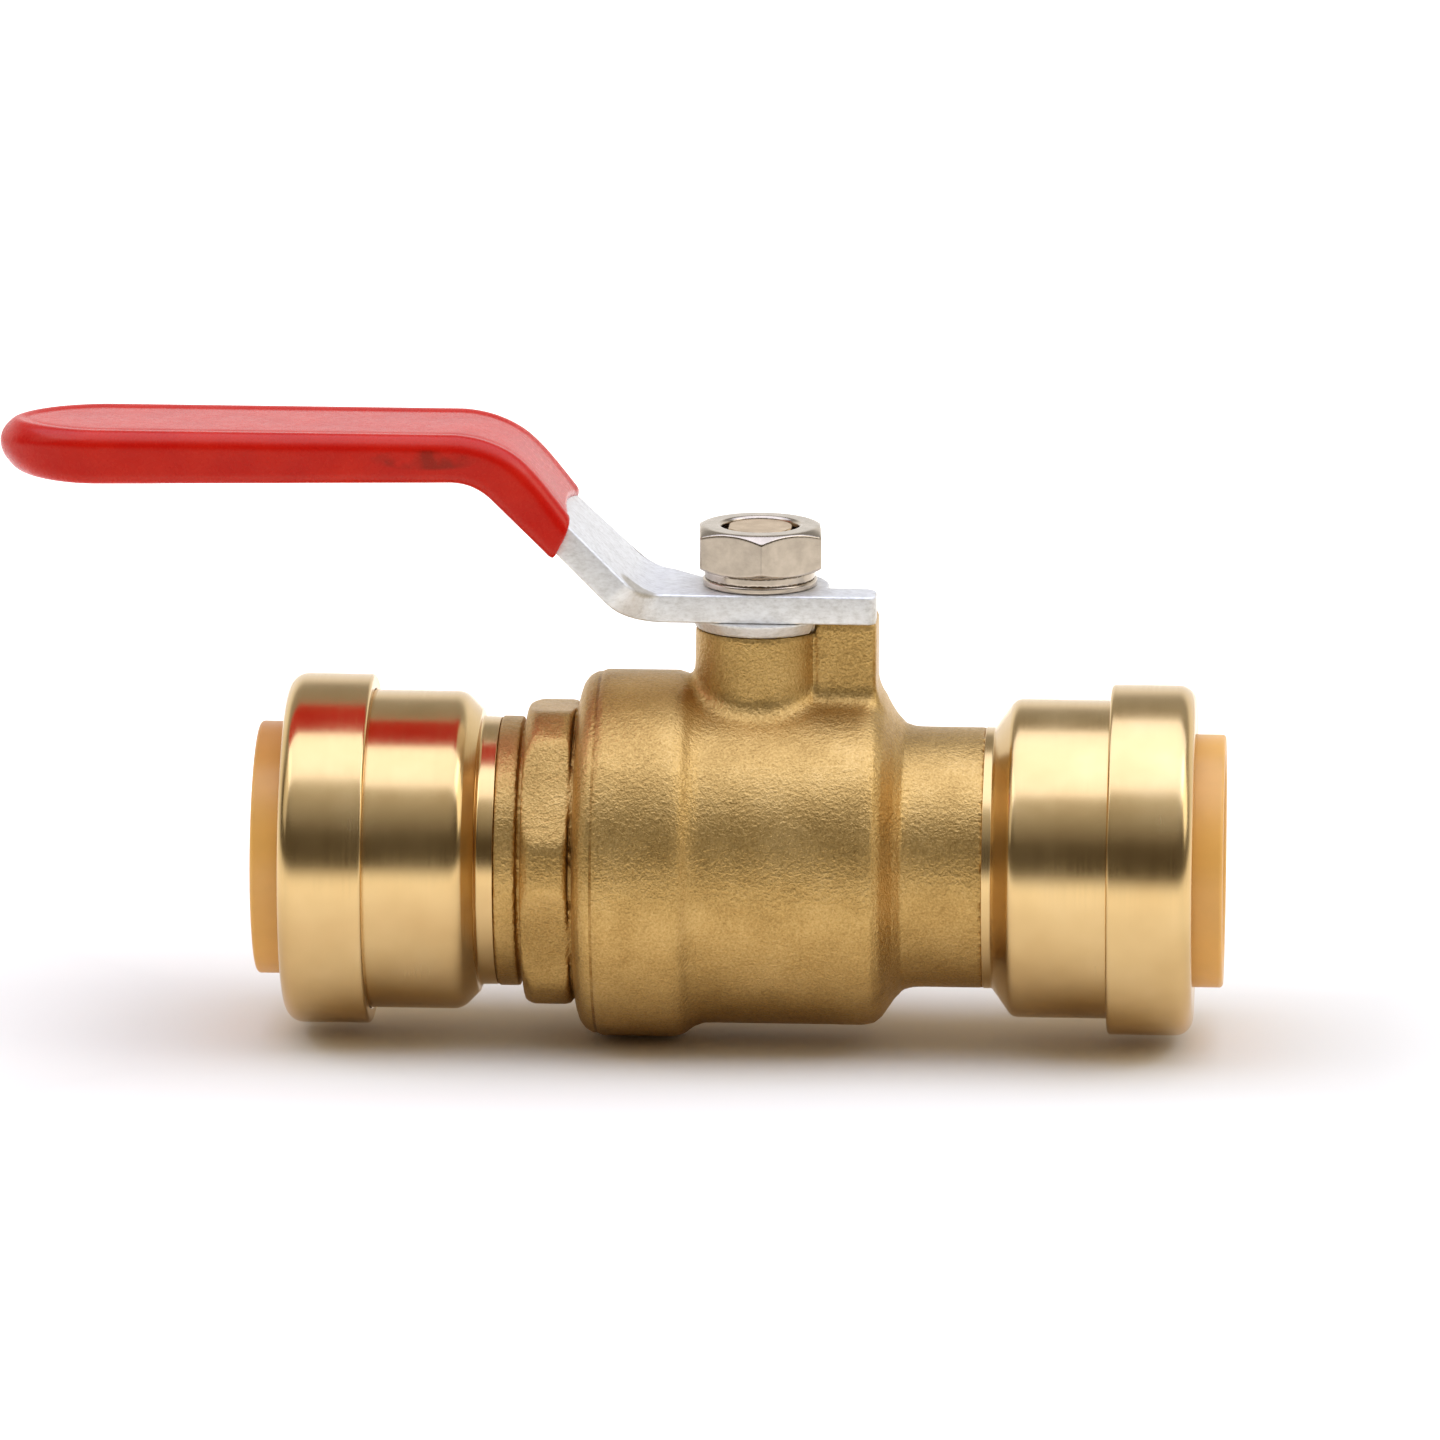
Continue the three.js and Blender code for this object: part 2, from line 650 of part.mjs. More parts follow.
// Plan of the handle seen from above: tail, hub, flared arm and grip.
function handlePlan(gripHalfWidth, tipX, grow = 0) {
  const { hubRadius, tailEnd, tailBackEdge, tailBackCorner, tailFrontCorner, frontEdge } = HANDLE;
  const tailAngle = Math.asin(tailBackEdge / hubRadius) / DEGREE;
  const arm = HANDLE.armHalfWidth + grow;
  return [
    ...arc(tailEnd - tailFrontCorner, frontEdge + tailFrontCorner, tailFrontCorner, -90, 0),
    ...arc(tailEnd - tailBackCorner, tailBackEdge - tailBackCorner, tailBackCorner, 0, 90),
    ...arc(0, 0, hubRadius, tailAngle, HANDLE.hubArcEnd, FINE_ARC_STEPS),
    [HANDLE.backFlareX, hubRadius + grow],
    [HANDLE.armBackX, arm],
    [HANDLE.gripStartX, gripHalfWidth],
    ...tipOutline(tipX, gripHalfWidth),
    [HANDLE.gripStartX, -gripHalfWidth],
    [HANDLE.armFrontX, -arm],
    [HANDLE.frontFlareX, frontEdge - grow],
  ];
}

function handlePlate() {
  const radii = [HANDLE.lowerBendRadius, HANDLE.upperBendRadius];
  const { thickness, hubHeight, tailEnd, tipX } = HANDLE;
  const side = bentBar(handleLine(tailEnd + OVERRUN, tipX - OVERRUN), radii, thickness);
  const plan = handlePlan(HANDLE.gripPlateHalfWidth, tipX);
  const height = HANDLE.gripHeight + thickness;
  const hole = drivenHole(hubHeight - thickness / 2, hubHeight + thickness / 2);
  return acrossHandle(side, 2 * HANDLE.armHalfWidth).intersect(raised(plan, 0, height)).subtract(hole);
}

// The vinyl sleeve: a deep bar and a wider, thinner one joined, which leaves its long edges stepped.
function handleGrip() {
  const top = HANDLE.gripHeight + GRIP.thickness;
  const bar = (thickness, halfWidth, tipX, startX) => {
    const side = bentBar(handleLine(startX, tipX - OVERRUN), [HANDLE.upperBendRadius], thickness);
    const plan = handlePlan(halfWidth, tipX, halfWidth - HANDLE.gripPlateHalfWidth);
    return acrossHandle(side, 2 * HANDLE.armHalfWidth).intersect(raised(plan, 0, top));
  };
  const deep = bar(GRIP.thickness, GRIP.halfWidth - GRIP.edge, GRIP.tipX + GRIP.edge, GRIP.endX);
  const wide = bar(GRIP.thickness - 2 * GRIP.edge, GRIP.halfWidth, GRIP.tipX, GRIP.endX);
  const plateWidth = HANDLE.gripPlateHalfWidth + BENT_GAP;
  const plateDepth = HANDLE.thickness + 2 * BENT_GAP;
  const pocket = bar(plateDepth, plateWidth, HANDLE.tipX - BENT_GAP, GRIP.endX + 2 * OVERRUN);
  return deep.add(wide).subtract(pocket);
}

// ---- Fasteners ----

function lockWasher() {
  const { inner, outer, bottom, top } = LOCK_WASHER;
  const cutter = new THREE.BoxGeometry(LOCK_WASHER.split, inner, inner);
  cutter.rotateY(LOCK_WASHER.splitSlant);
  cutter.translate(0, (inner + outer) / 2, (bottom + top) / 2);
  return flatRing(LOCK_WASHER).subtract(solid(cutter));
}

function stemNut() {
  const { acrossFlats, bottom, top, bore, chamfer, turn } = NUT;
  const corner = acrossFlats / 2 / Math.cos(30 * DEGREE);
  const prism = raised(hexagon(acrossFlats, turn + 30 * DEGREE), bottom, top);
  const turned = turnedUp([
    [bottom, 0],
    [bottom, corner - 2 * chamfer],
    [bottom + chamfer, corner],
    [top - chamfer, corner],
    [top, corner - 2 * chamfer],
    [top, 0],
  ]);
  const hole = turnedUp([
    [bottom - OVERRUN, 0],
    [bottom - OVERRUN, bore],
    [top + OVERRUN, bore],
    [top + OVERRUN, 0],
  ]);
  return prism.intersect(turned).subtract(hole);
}

// ---- Assembly ----

const valve = new THREE.Group();

const housing = new THREE.Group();
housing.add(
  piece('valve_body', valveBody(), FINISH.forgedBrass),
  piece('end_cap', endCap(), FINISH.forgedBrass),
  piece('inlet_seat', seatRing(-1), FINISH.ptfe),
  piece('outlet_seat', seatRing(1), FINISH.ptfe),
  piece('thrust_washer', flatRing(THRUST_WASHER), FINISH.ptfe),
);
valve.add(housing);

for (const [side, socket] of [['inlet', valveInlet], ['outlet', valveOutlet]]) {
  const fitting = new THREE.Group();
  fitting.add(
    piece(`${side}_retainer_cap`, retainerCap(socket), FINISH.turnedBrass),
    piece(`${side}_release_collar`, releaseCollar(socket), FINISH.orangePlastic),
    piece(`${side}_grab_ring`, grabRing(socket), FINISH.stainless),
    piece(`${side}_spacer_ring`, spacerRing(socket), FINISH.whitePlastic),
    piece(`${side}_o_ring`, socketORing(socket), FINISH.rubber),
  );
  valve.add(fitting);
}

const turning = new THREE.Group();
turning.add(
  piece('ball', portedBall(), FINISH.chrome),
  piece('stem', valveStem(), FINISH.turnedBrass),
  piece('lower_stem_o_ring', stemORing(STEM.grooveHeights[0]), FINISH.rubber),
  piece('upper_stem_o_ring', stemORing(STEM.grooveHeights[1]), FINISH.rubber),
  piece('stop_disc', stopDisc(), FINISH.zincSteel),
  piece('handle_plate', handlePlate(), FINISH.zincSteel),
  piece('handle_grip', handleGrip(), FINISH.redVinyl),
  piece('flat_washer', flatRing(FLAT_WASHER), FINISH.nickel),
  piece('lock_washer', lockWasher(), FINISH.nickel),
  piece('stem_nut', stemNut(), FINISH.nickel),
);
valve.add(turning);

export default valve;
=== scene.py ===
import math

import bmesh
import bpy
import numpy as np
import openvdb
from mathutils import Matrix, Vector


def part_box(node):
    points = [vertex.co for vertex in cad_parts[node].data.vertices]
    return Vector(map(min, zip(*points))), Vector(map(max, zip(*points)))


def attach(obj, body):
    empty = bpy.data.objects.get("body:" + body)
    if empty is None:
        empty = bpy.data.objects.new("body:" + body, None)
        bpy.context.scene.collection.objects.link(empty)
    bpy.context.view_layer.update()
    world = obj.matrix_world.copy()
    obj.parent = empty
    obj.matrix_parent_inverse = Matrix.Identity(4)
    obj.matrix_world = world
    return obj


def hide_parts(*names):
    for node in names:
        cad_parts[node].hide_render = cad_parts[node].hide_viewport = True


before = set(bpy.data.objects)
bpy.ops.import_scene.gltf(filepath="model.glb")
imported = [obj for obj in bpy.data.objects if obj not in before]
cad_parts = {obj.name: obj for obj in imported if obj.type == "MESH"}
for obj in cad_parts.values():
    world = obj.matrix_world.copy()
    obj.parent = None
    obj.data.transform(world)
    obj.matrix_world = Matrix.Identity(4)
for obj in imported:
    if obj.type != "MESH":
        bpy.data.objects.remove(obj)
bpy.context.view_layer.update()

# ---- Units and places. Lengths are in millimetres until a mesh is written, unless a name says so. ----
MM = 0.001
DEGREE = math.pi / 180


def extent(node):
    """Lowest and highest corner of a CAD node at rest, in millimetres."""
    low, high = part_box(node)
    return [c / MM for c in low], [c / MM for c in high]


INLET_FACE = extent("inlet_retainer_cap")[0][0]
OUTLET_FACE = extent("outlet_retainer_cap")[1][0]
CAP_RADIUS = extent("inlet_retainer_cap")[1][2]
CAP_LENGTH = extent("inlet_retainer_cap")[1][0] - INLET_FACE
COLLAR_PROUD = INLET_FACE - extent("inlet_release_collar")[0][0]
BODY_LEFT = extent("valve_body")[0][0]
FLANGE_RADIUS = extent("valve_body")[1][1]
PARTING_STATION = BODY_LEFT + 2.1
BONNET_TOP = extent("stop_disc")[0][2] - 0.05
LUG_TOP = extent("valve_body")[1][2]
PLATE_BOTTOM = extent("handle_plate")[0][2]
NUT_BOTTOM, NUT_TOP = extent("stem_nut")[0][2], extent("stem_nut")[1][2]
STEM_TOP = extent("stem")[1][2]
TAIL_END = extent("handle_plate")[1][0]
GRIP_TIP = extent("handle_grip")[0][0]
GRIP_TOP = extent("handle_grip")[1][2]

PORT_RADIUS = 9.0
GUIDE_BORE = 11.3
CHAMBER_RADIUS = 14.4
CHAMBER_END = 14.3
TUBE_STOP = 21.8
BARREL_START = 7.0
BARREL_RADIUS = 16.75


# ---- Materials ----

def principled(name, **sockets):
    """A material whose Principled shader has these plain socket values."""
    material = bpy.data.materials.new(name)
    material.use_nodes = True
    shader = material.node_tree.nodes["Principled BSDF"]
    for socket, value in sockets.items():
        shader.inputs[socket.replace("_", " ")].default_value = value
    return material


def add_node(material, kind, **properties):
    node = material.node_tree.nodes.new(kind)
    for key, value in properties.items():
        setattr(node, key, value)
    return node


def connect(material, source, target):
    material.node_tree.links.new(source, target)


def noise(material, per_mm, detail=3.0, roughness=0.55, stretch=(1, 1, 1)):
    """A noise pattern with this many features to a millimetre along each axis. Returns its output."""
    place = add_node(material, "ShaderNodeTexCoord")
    scale = add_node(material, "ShaderNodeMapping")
    scale.inputs["Scale"].default_value = [per_mm * s / MM for s in stretch]
    pattern = add_node(material, "ShaderNodeTexNoise")
    pattern.inputs["Scale"].default_value = 1.0
    pattern.inputs["Detail"].default_value = detail
    pattern.inputs["Roughness"].default_value = roughness
    connect(material, place.outputs["Object"], scale.inputs["Vector"])
    connect(material, scale.outputs["Vector"], pattern.inputs["Vector"])
    return pattern.outputs["Fac"]


def ramp(material, factor, stops):
    """Colours at positions along a factor. Returns the colour."""
    node = add_node(material, "ShaderNodeValToRGB")
    elements = node.color_ramp.elements
    while len(elements) < len(stops):
        elements.new(0.5)
    for element, (position, colour) in zip(elements, stops):
        element.position = position
        element.color = (*colour, 1.0)
    connect(material, factor, node.inputs["Fac"])
    return node.outputs["Color"]


def spread(material, factor, low, high, start=0.3, end=0.7):
    """A factor from start to end, mapped onto low to high."""
    node = add_node(material, "ShaderNodeMapRange")
    node.inputs["From Min"].default_value = start
    node.inputs["From Max"].default_value = end
    node.inputs["To Min"].default_value = low
    node.inputs["To Max"].default_value = high
    connect(material, factor, node.inputs["Value"])
    return node.outputs["Result"]


def combine(material, operation, first, second):
    node = add_node(material, "ShaderNodeMath", operation=operation)
    for socket, value in zip(node.inputs, (first, second)):
        if isinstance(value, (int, float)):
            socket.default_value = value
        else:
            connect(material, value, socket)
    return node.outputs["Value"]


def blended(material, first, second, share):
    """Two factors added, the second with this share and the first with the rest."""
    rest = combine(material, "MULTIPLY", first, 1 - share)
    return combine(material, "ADD", rest, combine(material, "MULTIPLY", second, share))


def set_colour(material, colour):
    connect(material, colour, material.node_tree.nodes["Principled BSDF"].inputs["Base Color"])


def set_roughness(material, value):
    connect(material, value, material.node_tree.nodes["Principled BSDF"].inputs["Roughness"])


def set_bump(material, height, depth_mm):
    node = add_node(material, "ShaderNodeBump")
    node.inputs["Strength"].default_value = 1.0
    node.inputs["Distance"].default_value = depth_mm * MM
    connect(material, height, node.inputs["Height"])
    shader = material.node_tree.nodes["Principled BSDF"]
    connect(material, node.outputs["Normal"], shader.inputs["Normal"])


def spot(material, centre, reach, turn=0.0):
    """A soft-edged spot round a point in the object, turned about Y: 1 inside it and 0 outside."""
    place = add_node(material, "ShaderNodeTexCoord")
    shift = add_node(material, "ShaderNodeVectorMath", operation="SUBTRACT")
    shift.inputs[1].default_value = [c * MM for c in centre]
    swing = add_node(material, "ShaderNodeVectorRotate", rotation_type="Y_AXIS")
    swing.inputs["Angle"].default_value = turn
    scale = add_node(material, "ShaderNodeVectorMath", operation="MULTIPLY")
    scale.inputs[1].default_value = [1 / (r * MM) for r in reach]
    length = add_node(material, "ShaderNodeVectorMath", operation="LENGTH")
    connect(material, place.outputs["Object"], shift.inputs[0])
    connect(material, shift.outputs["Vector"], swing.inputs["Vector"])
    connect(material, swing.outputs["Vector"], scale.inputs[0])
    connect(material, scale.outputs["Vector"], length.inputs[0])
    return spread(material, length.outputs["Value"], 1.0, 0.0, 0.8, 1.1)


def darkened(material, colour, mask, tint):
    """A colour multiplied by a tint where a mask is 1."""
    node = add_node(material, "ShaderNodeMix", data_type="RGBA", blend_type="MULTIPLY")
    connect(material, mask, node.inputs["Factor"])
    colours = [socket for socket in node.inputs if socket.type == "RGBA"]
    connect(material, colour, colours[0])
    colours[1].default_value = (*tint, 1.0)
    return next(socket for socket in node.outputs if socket.type == "RGBA")


def forged_brass():
    """Shot-blasted forging: fine pitted grain, faint clouds of tarnish and a broken parting line."""
    material = principled("forged_brass", Metallic=1.0)
    clouds = noise(material, 0.16, 4.0)
    grain = noise(material, 4.2, 2.0, 0.6)
    pits = noise(material, 2.0, 3.0, 0.6)
    tone = blended(material, clouds, grain, 0.55)
    colour = ramp(material, tone, [
        (0.34, (0.39, 0.232, 0.070)), (0.50, (0.545, 0.340, 0.110)), (0.66, (0.665, 0.435, 0.160)),
    ])
    parting = spot(material, (PARTING_STATION, 0, 0), (0.16, 100, 100))
    broken = spread(material, noise(material, 0.35, 2.0), 0.25, 1.0, 0.35, 0.65)
    line = combine(material, "MULTIPLY", parting, broken)
    set_colour(material, darkened(material, colour, line, (0.58, 0.48, 0.36)))
    set_roughness(material, spread(material, pits, 0.46, 0.34))
    set_bump(material, combine(material, "ADD", grain, combine(material, "MULTIPLY", pits, 1.6)), 0.06)
    return material


def turned_brass():
    """Polished turning: fine rings round the pipe axis and a few soft smudges."""
    material = principled("turned_brass", Metallic=1.0)
    rings = noise(material, 1.0, 2.0, 0.5, stretch=(9, 0.02, 0.02))
    smudges = noise(material, 0.11, 3.0, 0.5)
    set_colour(material, ramp(material, smudges, [
        (0.30, (0.64, 0.425, 0.180)), (0.55, (0.71, 0.490, 0.218)), (0.75, (0.77, 0.545, 0.260)),
    ]))
    set_roughness(material, combine(
        material, "ADD", spread(material, smudges, 0.16, 0.23), spread(material, rings, 0.0, 0.05),
    ))
    set_bump(material, rings, 0.004)
    return material


def plated_steel(name, colour, low, high, bump_mm, per_mm=0.6):
    """Plated steel: cloudy gloss over a faint rolled grain."""
    material = principled(name, Metallic=1.0)
    clouds = noise(material, per_mm, 4.0, 0.6)
    fine = noise(material, per_mm * 5, 2.0, 0.5)
    dark = tuple(c * 0.86 for c in colour)
    set_colour(material, ramp(material, clouds, [(0.35, dark), (0.65, colour)]))
    set_roughness(material, spread(material, clouds, low, high))
    set_bump(material, fine, bump_mm)
    return material


def zinc_plate():
    """Dull galvanised plate, with painted shade in a patch inside the lower bend and in a short line by the
    back edge of the slope.
    """
    material = principled("zinc_steel", Metallic=1.0)
    clouds = noise(material, 0.8, 4.0, 0.6)
    streaks = noise(material, 3.0, 3.0, 0.6, stretch=(0.5, 1, 1))
    tone = blended(material, clouds, streaks, 0.6)
    colour = ramp(material, tone, [
        (0.36, (0.76, 0.735, 0.675)), (0.50, (0.88, 0.86, 0.81)), (0.62, (0.95, 0.935, 0.89)),
    ])
    # Painted shade: a darker patch inside the lower bend.
    bend_painted_shade = spot(material, (-12.4, -6.9, 30.1), (2.5, 1.7, 0.9), -25 * DEGREE)
    # Painted shade: a darker short line by the back edge, on the slope.
    back_edge_painted_shade = spot(material, (-13.3, 8.6, 30.5), (1.1, 0.35, 0.6), -35 * DEGREE)
    colour = darkened(material, colour, bend_painted_shade, (0.70, 0.66, 0.58))
    set_colour(material, darkened(material, colour, back_edge_painted_shade, (0.36, 0.33, 0.29)))
    set_roughness(material, spread(material, clouds, 0.66, 0.54))
    set_bump(material, streaks, 0.02)
    return material


def moulded(name, colour, roughness, grain_mm=0.01):
    """Moulded plastic or rubber: nearly even colour with a fine moulded grain."""
    mottle = 0.04
    material = principled(name, Metallic=0.0)
    clouds = noise(material, 0.25, 3.0)
    grain = noise(material, 3.0, 2.0)
    light = tuple(min(1.0, c * (1 + mottle)) for c in colour)
    dark = tuple(c * (1 - mottle) for c in colour)
    set_colour(material, ramp(material, clouds, [(0.3, dark), (0.7, light)]))
    set_roughness(material, spread(material, grain, roughness + 0.04, roughness - 0.04))
    set_bump(material, grain, grain_mm)
    return material


def dipped_vinyl():
    """Thick glossy vinyl with the slow ripple that dipping leaves, and a smudge by the upper bend."""
    material = principled("red_vinyl", Metallic=0.0, IOR=1.46, Specular_Tint=(1.0, 0.75, 0.55, 1.0))
    ripple = noise(material, 0.22, 2.0, 0.4)
    fine = noise(material, 1.6, 2.0, 0.5)
    colour = ramp(material, ripple, [(0.3, (0.57, 0.004, 0.002)), (0.7, (0.64, 0.010, 0.003))])
    smudge = spot(material, (-34.5, -8.8, 43.6), (5.5, 1.5, 1.1))
    broken = spread(material, noise(material, 0.3, 2.0), 0.0, 0.8, 0.40, 0.60)
    stain = combine(material, "MULTIPLY", smudge, broken)
    set_colour(material, darkened(material, colour, stain, (0.45, 0.9, 0.9)))
    set_roughness(material, spread(material, fine, 0.30, 0.24))
    set_bump(material, combine(material, "ADD", ripple, combine(material, "MULTIPLY", fine, 0.12)), 0.10)
    return material


LOOKS = {
    "forged_brass": forged_brass(),
    "turned_brass": turned_brass(),
    "zinc_steel": zinc_plate(),
    "nickel_steel": plated_steel("nickel_steel", (0.53, 0.445, 0.345), 0.24, 0.16, 0.003),
    "stainless_steel": plated_steel("stainless_steel", (0.62, 0.61, 0.58), 0.30, 0.22, 0.004),
    "chromed_brass": plated_steel("chromed_brass", (0.80, 0.81, 0.83), 0.10, 0.06, 0.001, 0.2),
    "stem_brass": plated_steel("stem_brass", (0.62, 0.44, 0.25), 0.36, 0.26, 0.008),
    "red_vinyl": dipped_vinyl(),
    "collar_plastic": moulded("collar_plastic", (0.86, 0.45, 0.10), 0.38, 0.006),
    "spacer_plastic": moulded("spacer_plastic", (0.70, 0.67, 0.58), 0.45),
    "ptfe": moulded("ptfe", (0.86, 0.86, 0.83), 0.5),
    "rubber_seal": moulded("rubber_seal", (0.018, 0.018, 0.019), 0.5),
}


# ---- Making pieces ----

# Distance from a rounded corner at which a flat stretch keeps its own shading.
SUPPORT = 0.06
SHARP_ANGLE = 38 * DEGREE
# Facets round the large polished pieces.
FINE_SEGMENTS = 192


def finish_piece(name, mesh, slot, body, nodes):
    """A mesh as a piece of the valve: its finish, its body and the CAD nodes that it replaces."""
    mesh.materials.append(LOOKS[slot])
    mesh.polygons.foreach_set("use_smooth", [True] * len(mesh.polygons))
    mesh.set_sharp_from_angle(angle=SHARP_ANGLE)
    piece = bpy.data.objects.new(name, mesh)
    bpy.context.scene.collection.objects.link(piece)
    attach(piece, body)
    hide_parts(*nodes)
    return piece


def rounded(outline):
    """Points of an outline of (station, radius[, corner]) entries, each stated corner made an arc."""
    points = []
    for i, entry in enumerate(outline):
        here = np.array(entry[:2], float)
        corner = entry[2] if len(entry) > 2 else 0
        if corner == 0:
            points.append(tuple(here))
            continue
        before = np.array(outline[i - 1][:2], float) - here
        after = np.array(outline[(i + 1) % len(outline)][:2], float) - here
        room = 0.49 * min(np.linalg.norm(before), np.linalg.norm(after))
        before /= np.linalg.norm(before)
        after /= np.linalg.norm(after)
        half = math.acos(np.clip(before @ after, -1, 1)) / 2
        setback = min(corner / math.tan(half), room)
        radius = setback * math.tan(half)
        middle = here + (before + after) / np.linalg.norm(before + after) * radius / math.sin(half)
        start, end = here + before * setback - middle, here + after * setback - middle
        first = math.atan2(start[1], start[0])
        sweep = (math.atan2(end[1], end[0]) - first + math.pi) % (2 * math.pi) - math.pi
        steps = max(3, math.ceil(abs(sweep) / (11 * DEGREE)))
        support = min(SUPPORT, 0.5 * room)
        points.append(tuple(here + before * (setback + support)))
        for step in range(steps + 1):
            angle = first + sweep * step / steps
            points.append((middle[0] + radius * math.cos(angle), middle[1] + radius * math.sin(angle)))
        points.append(tuple(here + after * (setback + support)))
    return points


def turned_mesh(name, outline, axis="X", segments=144):
    """A closed outline turned round the pipe axis or the stem axis. Stations are along the axis."""
    points = np.array(rounded(outline))
    angles = np.arange(segments) * 2 * math.pi / segments
    along = np.repeat(points[None, :, 0], segments, 0)
    across = points[None, :, 1] * np.cos(angles)[:, None]
    up = points[None, :, 1] * np.sin(angles)[:, None]
    order = (along, across, up) if axis == "X" else (across, up, along)
    vertices = np.stack(order, -1).reshape(-1, 3) * MM
    count = len(points)
    rows, columns = np.meshgrid(np.arange(segments), np.arange(count), indexing="ij")
    next_row, next_column = (rows + 1) % segments, (columns + 1) % count
    faces = np.stack([
        rows * count + columns, rows * count + next_column,
        next_row * count + next_column, next_row * count + columns,
    ], -1).reshape(-1, 4)
    mesh = bpy.data.meshes.new(name)
    mesh.from_pydata(vertices.tolist(), [], faces.tolist())
    outward(mesh)
    return mesh


def outward(mesh):
    """Merges stray doubles and turns every face out."""
    work = bmesh.new()
    work.from_mesh(mesh)
    bmesh.ops.remove_doubles(work, verts=work.verts, dist=1e-7)
    bmesh.ops.recalc_face_normals(work, faces=work.faces)
    work.to_mesh(mesh)
    work.free()


def turned_piece(name, outline, slot, body, nodes, **options):
    return finish_piece(name, turned_mesh(name, outline, **options), slot, body, nodes)


def field_piece(name, low, high, step, field, slot, body, nodes, place=None):
    """A solid from a distance field that is negative inside. A place function moves its points."""
    margin = 3 * step
    axes = [
        np.arange(a - margin, b + margin + step, step, dtype=np.float32) for a, b in zip(low, high)
    ]
    x, y, z = np.meshgrid(*axes, indexing="ij", sparse=True)
    distance = np.broadcast_to(field(x, y, z), [len(a) for a in axes])
    grid = openvdb.FloatGrid(margin)
    grid.copyFromArray(np.clip(distance, -margin, margin).astype(np.float32))
    points, quads = grid.convertToQuads(isovalue=0.0)
    vertices = points * step + np.array([a[0] for a in axes])
    if place:
        vertices = place(vertices)
    mesh = bpy.data.meshes.new(name)
    mesh.from_pydata((vertices * MM).tolist(), [], quads.tolist())
    outward(mesh)
    return finish_piece(name, mesh, slot, body, nodes)


def smooth_min(first, second, width):
    """The union of two fields with a fillet about as wide as width."""
    blend = np.clip(0.5 + 0.5 * (second - first) / width, 0, 1)
    return second + (first - second) * blend - width * blend * (1 - blend)


def smooth_max(first, second, width):
    """The overlap of two fields with a rounded edge about as wide as width."""
    return -smooth_min(-first, -second, width)


def round_max(first, second, radius):
    """The overlap of two fields with its edge turned to a radius."""
    edge = np.hypot(np.maximum(first + radius, 0), np.maximum(second + radius, 0))
    return np.minimum(np.maximum(first, second), -radius) + edge


def from_axis(y, z):
    return np.sqrt(y * y + z * z)


def hexagon_field(a, b, across_flats, turn):
    """Distance to a hexagon in a plane, with a corner in the direction turn from +a towards +b."""
    sides = [turn + (30 + 60 * i) * DEGREE for i in range(3)]
    reach = np.maximum.reduce([np.abs(a * math.cos(s) + b * math.sin(s)) for s in sides])
    return reach - across_flats / 2


def wire_circle(station, radius, wire, steps):
    """The section of a ring of round wire, round a station and a radius."""
    turns = [2 * math.pi * i / steps for i in range(steps)]
    return [(station + wire * math.cos(t), radius + wire * math.sin(t)) for t in turns]


# ---- Sockets. Depths run inward from the outer face of the retainer cap. ----

CAP_BORE = 16.85
CAP_MOUTH, CAP_MOUTH_DEPTH = 13.6, 1.8
CAP_HOLLOW, CAP_HOLLOW_DEPTH = 14.7, 6.4
COLLAR_BORE, COLLAR_RADIUS, COLLAR_THROAT, COLLAR_NOSE = 11.35, 13.3, 12.9, 12.0
COLLAR_LIP, COLLAR_LIP_START, COLLAR_LIP_END, COLLAR_DEPTH = 14.4, 1.9, 3.2, 4.6
SPACER_RADIUS, SPACER_MOUTH = 14.3, 13.8
SPACER_START, SPACER_LIP, SPACER_END = 7.3, 9.3, 10.6
TUBE_SEAL_DEPTH, TUBE_SEAL_RADIUS, TUBE_SEAL_WIRE = 12.45, 12.6, 1.65
TOOTH_COUNT = 12

SIDES = {
    "inlet": {"face": INLET_FACE, "inward": 1},
    "outlet": {"face": OUTLET_FACE, "inward": -1},
}


def placed(side, outline):
    """Outline entries whose first number is a depth from the cap's face, moved onto the pipe axis."""
    face, inward = SIDES[side]["face"], SIDES[side]["inward"]
    return [(face + inward * entry[0], *entry[1:]) for entry in outline]


def socket_bore(side):
    """The wet side of a barrel, from its open end in to the port."""
    return placed(side, [
        (BARREL_START, CHAMBER_RADIUS, 0.3),
        (CHAMBER_END, CHAMBER_RADIUS, 0.3),
        (CHAMBER_END, GUIDE_BORE, 0.25),
        (TUBE_STOP, GUIDE_BORE, 0.2),
        (TUBE_STOP, PORT_RADIUS, 0.25),
    ])


def retainer_cap(side):
    outline = placed(side, [
        (0, CAP_MOUTH, 0.35), (0, CAP_RADIUS, 1.9), (CAP_LENGTH, CAP_RADIUS, 0.45),
        (CAP_LENGTH, CAP_BORE, 0.12), (CAP_HOLLOW_DEPTH, CAP_BORE), (CAP_HOLLOW_DEPTH, CAP_HOLLOW, 0.2),
        (CAP_MOUTH_DEPTH, CAP_HOLLOW), (CAP_MOUTH_DEPTH, CAP_MOUTH, 0.2),
    ])
    turned_piece(
        f"{side}_cap", outline, "turned_brass", "housing", [f"{side}_retainer_cap"],
        segments=FINE_SEGMENTS,
    )


def release_collar(side):
    outline = placed(side, [
        (-COLLAR_PROUD, COLLAR_BORE, 0.45), (-COLLAR_PROUD, COLLAR_RADIUS, 0.4),
        (COLLAR_LIP_START, COLLAR_RADIUS), (COLLAR_LIP_START, COLLAR_LIP, 0.15),
        (COLLAR_LIP_END, COLLAR_LIP, 0.15), (COLLAR_LIP_END, COLLAR_THROAT, 0.2),
        (COLLAR_DEPTH, COLLAR_NOSE, 0.3), (COLLAR_DEPTH, COLLAR_BORE, 0.2),
    ])
    turned_piece(
        f"{side}_collar_ring", outline, "collar_plastic", f"{side}_collar",
        [f"{side}_release_collar"], segments=160,
    )


